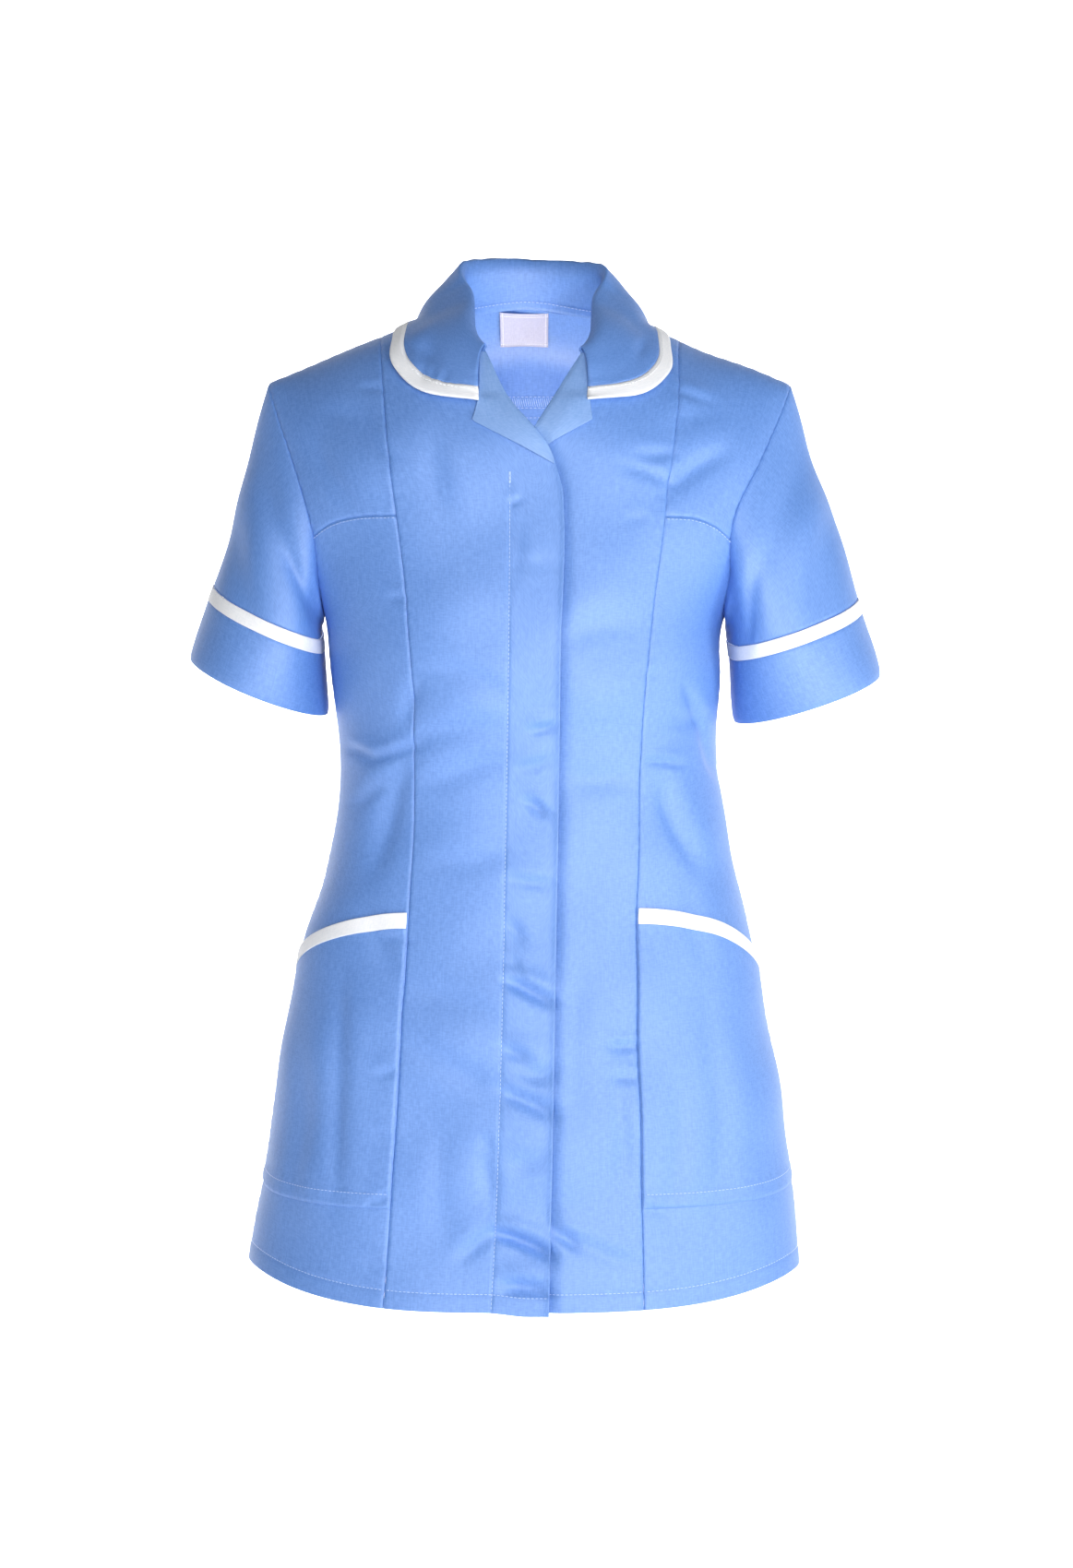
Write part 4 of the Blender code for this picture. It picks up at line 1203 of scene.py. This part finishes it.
def tube_piece(hand, name, start, end, sewn, material, extra=None, trim=False):
    """One stretch of a sleeve's tube, from a height above its hem down to another. None is the armhole."""
    place, count, length = sleeve_surface(hand)
    index = np.arange(count + 1) % count
    tall = (float(length.mean()) if start is None else start) - end
    top = length if start is None else np.full(count, start)
    down = marks(tall, TRIM_CELL, TRIM_STEPS) if trim else marks(tall, CELL, EDGE_STEPS)
    rings = [place(index, (top * (1 - share) + end * share)[index]) for share in down / tall]
    point, normal = (np.stack(part, axis=1) for part in zip(*rings))
    out = relief(point) + (TRIM_PROUD if trim else 0.0) + seam_dip(point, sewn, hand)
    if extra is not None:
        out = out + extra(point)
    point = point + normal * out[..., None]
    slot, wall = ("trim_white", TRIM_CLOTH) if trim else ("cloth_blue", CLOTH)
    cloth(name, point, normal, wall, material, closed=True)


def make_sleeve(hand, word, blue, white):
    """Sleeve, its white trim and the cuff below it."""
    depth = SLEEVES[word][-1]
    trim_top = depth + SLEEVE_TRIM
    sleeve, trim, cuff = "sleeve_" + word, "sleeve_trim_" + word, "cuff_" + word
    tube_piece(hand, sleeve, None, trim_top, "tb", blue)
    tube_piece(hand, trim, trim_top, depth, "", white, trim=True)
    tube_piece(hand, cuff, depth, 0.0, "b", blue, extra=lambda point: cuff_band(point, depth))


def cuff_band(point, depth):
    """The cuff is folded double: a little fuller just above its folded edge."""
    from_fold = depth - run_along(point, 1)
    fullest = np.exp(-(((from_fold - CUFF_FULLEST) / CUFF_REACH) ** 2))
    return CUFF_PROUD * ease(from_fold / CUFF_EDGE) * fullest


def pocket_top_z(u, hand, above):
    return POCKET_TOP[hand] - POCKET_TOP_DROP[hand] * (1 - u) ** POCKET_CURVE + above


def pocket_bottom_z(share):
    """The pocket's lower edge: level near the front, and rising towards the side seam."""
    return POCKET_BOTTOM + POCKET_BOTTOM_RISE * share**2


def pocket_patches(hand):
    """A patch over the whole side front between its seams, and the strip along its mouth."""
    princess = seam_angle(lambda z: princess_x(z, hand), hand * POCKET_INSET)

    def outer(z):
        return outer_angle(z, -1, hand) - hand * POCKET_INSET / POCKET_SIDE_DEPTH

    def patch(bottom, top):
        return panel(-1, outer, princess, bottom, top, straight_rows)

    def mouth(above):
        return lambda x, u: pocket_top_z(u, hand, above)

    return patch(lambda x, u: pocket_bottom_z(1 - u), mouth(0.0)), patch(mouth(0.0), mouth(POCKET_TRIM))


def make_pocket(hand, word, blue, white):
    pocket, strip = pocket_patches(hand)
    lift = LAYER_GAP + CLOTH
    body_piece("pocket_" + word, pocket, blue, "lrb",
               lift, pocket_band, up=(POCKET_STITCH,))
    body_piece("pocket_trim_" + word, strip, white, "lr",
               lift + TRIM_PROUD)


def pocket_band(point):
    """The stitches that hold the pocket's turned-up lower edge."""
    start, end = POCKET_BOTTOM_X
    share = np.clip((np.abs(point[..., 0]) - start) / (end - start), 0, 1)
    above = point[..., 2] - pocket_bottom_z(share)
    return -POCKET_DIP * np.exp(-(((above - POCKET_STITCH) / STITCH_WIDTH) ** 2))


def path_reader(points):
    """Reads a path of (x, z) points by the share of its length."""
    points = np.array(points)
    share = arc_share(points)
    return lambda t: (np.interp(t, share, points[:, 0]), np.interp(t, share, points[:, 1]))


def revere_place(hand):
    """The front corner turned out over its panel, between the roll line and its free edge."""
    table = ROLL_LEFT if hand > 0 else ROLL_RIGHT
    low = REVERE_LEFT_LOW if hand > 0 else table[0][0] + 2 * REVERE_END
    heights = np.linspace(table[-1][0] - REVERE_END, low, 41)
    roll = path_reader(np.stack([read(table, 1, heights), heights], axis=-1))
    edge = REVERE_LEFT_EDGE if hand > 0 else REVERE_RIGHT_EDGE
    free = path_reader(edge)
    corner = arc_share(np.array(edge))

    def place(u, v):
        free_x, free_z = free(np.interp(v, np.linspace(0, 1, len(corner)), corner))
        roll_x, roll_z = roll(v)
        x = roll_x * (1 - u) + free_x * u
        z = roll_z * (1 - u) + free_z * u
        normal, point = body_normal(x, z, -1), body_point(x, z, -1)
        if hand > 0:
            point = point - normal * under_front(x, z)[..., None]
        return point, normal

    return place


def make_revere(hand, word, facing):
    """Its fold along the roll line is round, and its free edges lie close."""

    def rounded(point):
        run = run_along(point, 0)
        fold = ease(run / REVERE_FOLD)
        tucked = ease((point[..., 2] - REVERE_TUCK_Z) / REVERE_TUCK_FADE)
        spring = REVERE_SPRING * np.sin(math.pi * ease(run / REVERE_SPRING_REACH))
        held = spring * (1 - tucked) - REVERE_TUCK_SINK * tucked
        return LAYER_GAP + CLOTH - REVERE_SINK * (1 - fold) + held

    body_piece("revere_" + word, revere_place(hand), facing, "",
               extra=rounded)


# ---------------------------------------------------------------- materials


def linear(code):
    """A colour given as a hex code, in linear light."""
    parts = [int(code[i:i + 2], 16) / 255 for i in (1, 3, 5)]
    return tuple(p / 12.92 if p <= 0.04045 else ((p + 0.055) / 1.055) ** 2.4 for p in parts) + (1.0,)


def fill(tree, made, inputs):
    """Sets a node's inputs, each to a constant or to another node's output."""
    for key, value in inputs.items():
        if isinstance(value, bpy.types.NodeSocket):
            tree.links.new(value, made.inputs[key])
        else:
            made.inputs[key].default_value = value


def node(tree, kind, inputs=None, **settings):
    """Adds a node with its settings and its inputs."""
    made = tree.nodes.new(kind)
    for key, value in settings.items():
        setattr(made, key, value)
    fill(tree, made, inputs or {})
    return made


def new_material(name):
    """An empty material, its node tree and its Principled shader."""
    made = bpy.data.materials.new(name)
    made.use_nodes = True
    return made, made.node_tree, made.node_tree.nodes["Principled BSDF"]


def stretched_noise(tree, uv, along, across, detail):
    """Noise with one size along the cloth's width and another along its length, in metres."""
    sized = node(tree, "ShaderNodeMapping", {"Vector": uv, "Scale": (1 / along, 1 / across, 1.0)})
    inputs = {"Vector": sized.outputs["Vector"], "Scale": 1.0, "Detail": detail, "Roughness": 0.5}
    return node(tree, "ShaderNodeTexNoise", inputs, noise_dimensions="2D").outputs["Fac"]


def cloth_material(name, colour, yarn_gap_shade, rough, grain, yarn_depth, ior):
    """Woven cloth: crossed yarns, drawn as coarse as they need to show, slubs along both threads, and
    painted shade between the yarns.
    """
    made, tree, shader = new_material(name)
    uv = node(tree, "ShaderNodeUVMap", uv_map="cloth").outputs["UV"]
    weft = stretched_noise(tree, uv, grain * WEFT_RUN, grain, 1.0)
    warp = stretched_noise(tree, uv, grain, grain * WARP_RUN, 1.0)
    slubs = stretched_noise(tree, uv, grain * SLUB_WIDTH, grain * SLUB_RUN, 2.0)
    cloud = stretched_noise(tree, uv, *CLOUD_SIZE, 3.0)
    crossed = node(tree, "ShaderNodeMath", {0: weft, 1: warp}, operation="ADD").outputs[0]
    threads = node(tree, "ShaderNodeMath", {0: crossed, 1: YARN_SHARE}, operation="MULTIPLY").outputs[0]
    uneven = node(tree, "ShaderNodeMath", {0: slubs, 1: cloud}, operation="ADD").outputs[0]
    streaks = node(tree, "ShaderNodeMath", {0: uneven, 1: SLUB_SHARE}, operation="MULTIPLY").outputs[0]
    gap_shade_and_mottle = node(tree, "ShaderNodeMath", {0: threads, 1: streaks}, operation="ADD").outputs[0]
    spread_out = {"Value": gap_shade_and_mottle, "From Min": GAP_SHADE_AND_MOTTLE_RANGE[0], "From Max": GAP_SHADE_AND_MOTTLE_RANGE[1]}
    share = node(tree, "ShaderNodeMapRange", spread_out).outputs["Result"]
    # Painted shade: the colour is darker between the yarns, where their bumps are low; slubs and clouds
    # vary the tone at random.
    tones = {MIX_SHARE: share, MIX_FIRST: linear(yarn_gap_shade), MIX_SECOND: linear(colour)}
    glint = {"Value": threads, "To Min": rough - ROUGH_RANGE, "To Max": rough + ROUGH_RANGE}
    bump = {"Strength": YARN_STRENGTH, "Distance": yarn_depth, "Height": threads}
    fill(tree, shader, {
        "Base Color": node(tree, "ShaderNodeMix", tones, data_type="RGBA").outputs[MIXED],
        "Normal": node(tree, "ShaderNodeBump", bump).outputs["Normal"],
        "Roughness": node(tree, "ShaderNodeMapRange", glint).outputs["Result"],
        "IOR": ior,
    })
    return made


def thread_material(name, colour):
    """Polyester sewing thread: a twist along each stitch, with a slight gloss and a painted highlight on
    its raised twists.
    """
    made, tree, shader = new_material(name)
    place = node(tree, "ShaderNodeTexCoord").outputs["Object"]
    fibres = {"Vector": place, "Scale": TWIST_SCALE, "Detail": 1.0}
    twist = node(tree, "ShaderNodeTexNoise", fibres).outputs["Fac"]
    light = tuple(min(1.0, c * TWIST_HIGHLIGHT) for c in linear(colour)[:3]) + (1.0,)
    # Painted highlight: the colour is lighter where the twist's bump is high.
    tones = {MIX_SHARE: twist, MIX_FIRST: linear(colour), MIX_SECOND: light}
    bump = {"Strength": TWIST_STRENGTH, "Distance": TWIST_DEPTH, "Height": twist}
    fill(tree, shader, {
        "Base Color": node(tree, "ShaderNodeMix", tones, data_type="RGBA").outputs[MIXED],
        "Normal": node(tree, "ShaderNodeBump", bump).outputs["Normal"],
        "Roughness": 0.5,
    })
    return made


# ---------------------------------------------------------------- threads


def thread_object(name, stitches, material):
    """Many short stitches in one mesh. Each is (start, end, outward), a thin spindle half in the cloth."""
    whole = bmesh.new()
    for first in range(0, len(stitches), THREAD_BATCH):
        add_threads(whole, stitches[first:first + THREAD_BATCH])
    bmesh.ops.recalc_face_normals(whole, faces=whole.faces)
    thing = add_object(name, whole)
    thing.data.materials.append(material)
    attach(thing, "root")


def add_threads(whole, stitches):
    """Adds a few stitches, each a sphere drawn out along its line."""
    bm = bmesh.new()
    for start, end, outward in stitches:
        along = (end - start) / 2
        aside = unit(np.cross(along, outward))
        out = unit(np.cross(aside, along))
        middle = (start + end) / 2 + out * THREAD * THREAD_RAISED
        place = Matrix.Identity(4)
        for k, axis in enumerate((aside * THREAD, out * THREAD, along, middle)):
            for row in range(3):
                place[row][k] = axis[row]
        bmesh.ops.create_uvsphere(bm, u_segments=6, v_segments=4, radius=1.0, matrix=place)
    few = bpy.data.meshes.new("few_stitches")
    bm.to_mesh(few)
    bm.free()
    whole.from_mesh(few)
    bpy.data.meshes.remove(few)


def stitch_path(points, outward, pitch=STITCH_PITCH, length=STITCH_LENGTH):
    """Stitches of one length, evenly spaced along a path of points."""
    share = arc_share(points)
    total = np.linalg.norm(np.diff(points, axis=0), axis=1).sum()
    count = max(1, int(total / pitch))
    starts = (np.arange(count) + 0.5 * (1 - length / pitch)) / count
    ends = starts + length / pitch / count

    def at(places, values):
        return np.stack([np.interp(places, share, values[:, k]) for k in range(3)], axis=-1)

    return list(zip(at(starts, points), at(ends, points), unit(at(starts, outward))))


def on_body(x, z, side, lift=0.0):
    """Points on the creased cloth, raised a little, with their way out."""
    point, normal = body_point(x, z, side), body_normal(x, z, side)
    return point + normal * (relief(point) + lift)[..., None], normal


def line_on(place, us, rise, extra=None, lift=0.0):
    """Stitches across a panel at a height above its lower edge, or below its upper edge if negative."""
    vs = np.linspace(0, 1, 41) * LINE_SEARCH
    vs = vs if rise > 0 else 1 - vs
    u, v = np.meshgrid(us, vs, indexing="ij")
    z = place(u, v)[0][..., 2]
    found = np.array([np.interp(abs(rise), np.abs(row - row[0]), vs) for row in z])
    point, normal = place(us, found)
    out = relief(point) + lift + (extra(point) if extra is not None else 0)
    return stitch_path(point + normal * out[..., None], normal)


def front_stitches(hand):
    """Hem, chest seam and pocket stitches of one side of the front."""
    us = np.linspace(*LINE_ENDS, 60)
    made = line_on(front_centre(hand), us, HEM_DEPTH, lap_band if hand < 0 else hem_band)
    made += line_on(side_front_lower(hand), us, HEM_DEPTH, hem_band)
    made += line_on(side_front_lower(hand), us, -TOPSTITCH)
    return made + line_on(pocket_patches(hand)[0], us, POCKET_STITCH, pocket_band, LAYER_GAP + CLOTH)


def fly_stitches():
    """The line down the lap, and the bar at its top."""
    top_z, top_x = FLY_STITCH[-2]
    z = np.linspace(top_z, HEM_MIDDLE + FLY_FOOT, 200)
    point, normal = on_body(read(FLY_STITCH, 1, z), z, -1)
    made = stitch_path(point + normal * lap_band(point)[..., None], normal)
    bar = np.linspace(top_z, top_z - BAR_LENGTH, 8)
    for aside in (-BAR_ASIDE, BAR_ASIDE):
        made += stitch_path(*on_body(np.full(8, top_x + aside), bar, -1), BAR_PITCH, BAR_STITCH)
    return made


def back_stitches():
    """The hem and yoke stitches of the back."""
    us = np.linspace(*LINE_ENDS, 120)
    return line_on(back_panel(), us, HEM_DEPTH, hem_band) + line_on(back_yoke(), us, TOPSTITCH)


def overlocking():
    """The neatened edge of the yoke seam, inside the back: slanted stitches between straight lines."""
    made = []
    start, end = OVERLOCK_X
    for z in OVERLOCK_LINES:
        point, normal = on_body(np.linspace(start, end, 30), np.full(30, z), 1, -CLOTH - THREAD_LIFT)
        made += stitch_path(point, -normal)
    for x in np.arange(start, end - OVERLOCK_STEP, OVERLOCK_STEP):
        ends = np.array([x, x + OVERLOCK_STEP]), np.array(OVERLOCK_SLANT)
        point, normal = on_body(*ends, 1, -CLOTH - THREAD_LIFT)
        made.append((point[0], point[1], -normal[0]))
    return made


# ---------------------------------------------------------------- collar and label


def make_collar(blue, white):
    """Stand, roll and fall in one sheet, and the white binding that carries on to the outer edge."""
    around = np.linspace(-1, 1, COLLAR_COLUMNS)
    folded = collar_grid(around, None, BINDING, COLLAR_ROWS)
    band = collar_grid(around, BINDING, 0.0, BINDING_ROWS)
    whole = smoothed(np.concatenate([folded, band[:, 1:]], axis=1), np.abs(around))
    behind = whole[..., 1:2] > 0
    body_out = np.where(behind, height_over_body(whole, 1)[1], height_over_body(whole, -1)[1])
    creased = ease((run_along(whole, 1) - CREASED_FROM) / FALL_BLEND)
    whole = whole + body_out * (relief(whole) * creased)[..., None]
    normal = grid_normals(whole)
    normal = normal * (1 if normal[COLLAR_COLUMNS // 2, -1, 1] > 0 else -1)
    run = run_along(whole, 1)
    edge = run[:, -1:] - run
    out = ease((run - RIPPLED_FROM) / FALL_BLEND) * ripples(around)[:, None]
    out = out - COLLAR_DIP * np.exp(-(((edge - BINDING) / COLLAR_DIP_WIDTH) ** 2))
    proud = BINDING_PROUD * np.sqrt(np.clip(1 - (2 * edge / BINDING - 1) ** 2, 0, 1))
    whole = whole + normal * (out + np.where(edge < BINDING + 1e-6, proud, 0))[..., None]
    cloth("collar", whole[:, :COLLAR_ROWS], normal[:, :COLLAR_ROWS], COLLAR_CLOTH, blue)
    first = COLLAR_ROWS - 1
    cloth("collar_binding", whole[:, first:], normal[:, first:], BINDING_CLOTH, white)

    def stitched(row, lift):
        return stitch_path(whole[:, row] + normal[:, row] * lift, normal[:, row])

    return stitched(2, COLLAR_CLOTH / 2), stitched(COLLAR_ROWS + 1, THREAD_LIFT)


def smoothed(grid, round_it):
    """Evens out the fall's kinks towards the front, with its edges left where they are; the roll there is
    smoothed too.
    """
    grid = grid.copy()
    share = (ease((round_it - SMOOTHED_FROM) / SMOOTHED_OVER) * COLLAR_SMOOTHING)[1:-1, None, None]
    for _ in range(COLLAR_SMOOTHINGS):
        middle = (grid[:-2, 1:-1] + grid[2:, 1:-1] + grid[1:-1, :-2] + grid[1:-1, 2:]) / 4
        grid[1:-1, 1:-1] = grid[1:-1, 1:-1] * (1 - share) + middle * share
    return grid


def ripples(around):
    """Slight ripples of the fall where the binding holds its edge in."""
    total = np.zeros_like(around)
    for (turns, phase, share), wander in zip(RIPPLES, (RIPPLE_WANDER, 0.0)):
        total += share * np.sin(around * turns + phase + wander * np.sin(around * RIPPLE_WANDER_RUN))
    return RIPPLE * total


def make_label(material, thread):
    """A plain label that hangs from the neck seam, inside the yoke."""
    columns, rows = LABEL_GRID
    across = np.linspace(LABEL_LEFT, LABEL_RIGHT, columns)
    down = np.linspace(LABEL_TOP - LABEL_HEIGHT, LABEL_TOP, rows)
    x, z = np.meshgrid(across, down, indexing="ij")
    point, normal = body_point(x, z, 1), body_normal(x, z, 1)
    hang = (LABEL_TOP - z) / LABEL_HEIGHT
    curl = LABEL_CURL * hang**2 * np.cos((x - LABEL_LEFT) / (LABEL_RIGHT - LABEL_LEFT) * math.pi * 2)
    point = point - normal * (WALL + LABEL_GAP + LABEL_HANG * hang + curl)[..., None]
    cloth("neck_label", point, -normal, LABEL_CLOTH, material)
    made = []
    for line in (point[:, 1], point[:, -2], point[1, :], point[-2, :]):
        away = np.broadcast_to(-normal[columns // 2, rows // 2], line.shape)
        made += stitch_path(line, away, LABEL_PITCH, LABEL_STITCH)
    thread_object("label_stitches", made, thread)


# ---------------------------------------------------------------- floor, light and camera


def studio_paper():
    """White studio paper, matt and faintly fibrous, with a glow of its own that keeps it even."""
    made, tree, shader = new_material("white_studio_paper")
    place = node(tree, "ShaderNodeTexCoord").outputs["Object"]
    fibre = node(tree, "ShaderNodeTexNoise", {"Vector": place, "Scale": 90.0, "Detail": 4.0}).outputs["Fac"]
    tones = {MIX_SHARE: fibre, MIX_FIRST: linear("#FBFBFC"), MIX_SECOND: linear("#F5F6F8")}
    fill(tree, shader, {
        "Base Color": node(tree, "ShaderNodeMix", tones, data_type="RGBA").outputs[MIXED],
        "Roughness": 0.9,
        "Emission Color": linear("#FFFFFF"),
        "Emission Strength": PAPER_GLOW,
    })
    # Seen from behind, the paper is clear, so that the tunic shows from every side.
    behind = node(tree, "ShaderNodeNewGeometry").outputs["Backfacing"]
    clear = node(tree, "ShaderNodeBsdfTransparent").outputs["BSDF"]
    sides = node(tree, "ShaderNodeMixShader", {0: behind, 1: shader.outputs["BSDF"], 2: clear})
    fill(tree, tree.nodes["Material Output"], {"Surface": sides.outputs["Shader"]})
    return made


def make_stage():
    """A pale floor that curves up into a backdrop."""
    bm = bmesh.new()
    bmesh.ops.create_grid(bm, x_segments=40, y_segments=60, size=1.0)
    quarter = math.pi / 2 * SWEEP
    for vert in bm.verts:
        run = (vert.co.y + 1) / 2 * PAPER_RUN
        turn = min(max(run - FLOOR_RUN, 0.0), quarter) / SWEEP
        past = max(run - FLOOR_RUN - quarter, 0.0)
        depth = FLOOR_NEAR + min(run, FLOOR_RUN) + SWEEP * math.sin(turn)
        height = FLOOR_Z + SWEEP * (1 - math.cos(turn)) + past
        vert.co = (vert.co.x * FLOOR_HALF_WIDTH, depth, height)
    bm.normal_update()
    floor = add_object("floor", bm)
    floor.data.materials.append(studio_paper())


def area_light(name, place, aim, size, watts, colour):
    lamp = bpy.data.lights.new(name, "AREA")
    lamp.shape = "RECTANGLE"
    lamp.size, lamp.size_y = size
    lamp.energy = watts
    lamp.color = colour
    thing = bpy.data.objects.new(name, lamp)
    thing.location = place
    thing.rotation_mode = "QUATERNION"
    thing.rotation_quaternion = (Vector(aim) - Vector(place)).to_track_quat("-Z", "Y")
    thing.visible_camera = False
    bpy.context.scene.collection.objects.link(thing)


def make_light():
    for row in LAMPS:
        area_light(*row)
    world = bpy.data.worlds.new("studio")
    world.use_nodes = True
    tree = world.node_tree
    # The room beyond the paper lights the tunic little, and looks as pale as the paper.
    seen = node(tree, "ShaderNodeLightPath").outputs["Is Camera Ray"]
    room = node(tree, "ShaderNodeMapRange", {"Value": seen, "To Min": WORLD_LIGHT, "To Max": 1.0})
    fill(tree, tree.nodes["Background"], {"Color": linear("#FFFFFF"), "Strength": room.outputs["Result"]})
    bpy.context.scene.world = world


def make_camera():
    camera = bpy.data.objects.new("camera", bpy.data.cameras.new("camera"))
    camera.location = CAMERA_PLACE
    camera.rotation_euler = (math.pi / 2, 0.0, 0.0)
    camera.data.sensor_fit = "VERTICAL"
    camera.data.sensor_height = SENSOR
    camera.data.sensor_width = SENSOR
    camera.data.lens = LENS
    camera.data.dof.use_dof = False
    bpy.context.scene.view_settings.view_transform = "Standard"
    bpy.context.scene.collection.objects.link(camera)
    bpy.context.scene.camera = camera


def main():
    blue, facing, white, tape = (cloth_material(name, *look) for name, look in CLOTHS.items())
    blue_thread = thread_material("blue_polyester_thread", "#B4CBF0")
    white_thread = thread_material("white_polyester_thread", "#F4F5F8")
    make_back(blue)
    stitches = fly_stitches() + overlocking() + back_stitches()
    for hand, word in ((-1, "right"), (1, "left")):
        make_fronts(hand, word, blue)
        make_sleeve(hand, word, blue, white)
        make_pocket(hand, word, blue, white)
        make_revere(hand, word, facing)
        stitches += front_stitches(hand)
    stand_stitches, trim_stitches = make_collar(blue, white)
    make_label(tape, white_thread)
    thread_object("seam_stitches", stitches + stand_stitches, blue_thread)
    thread_object("trim_stitches", trim_stitches, white_thread)
    make_stage()
    make_light()
    make_camera()


main()
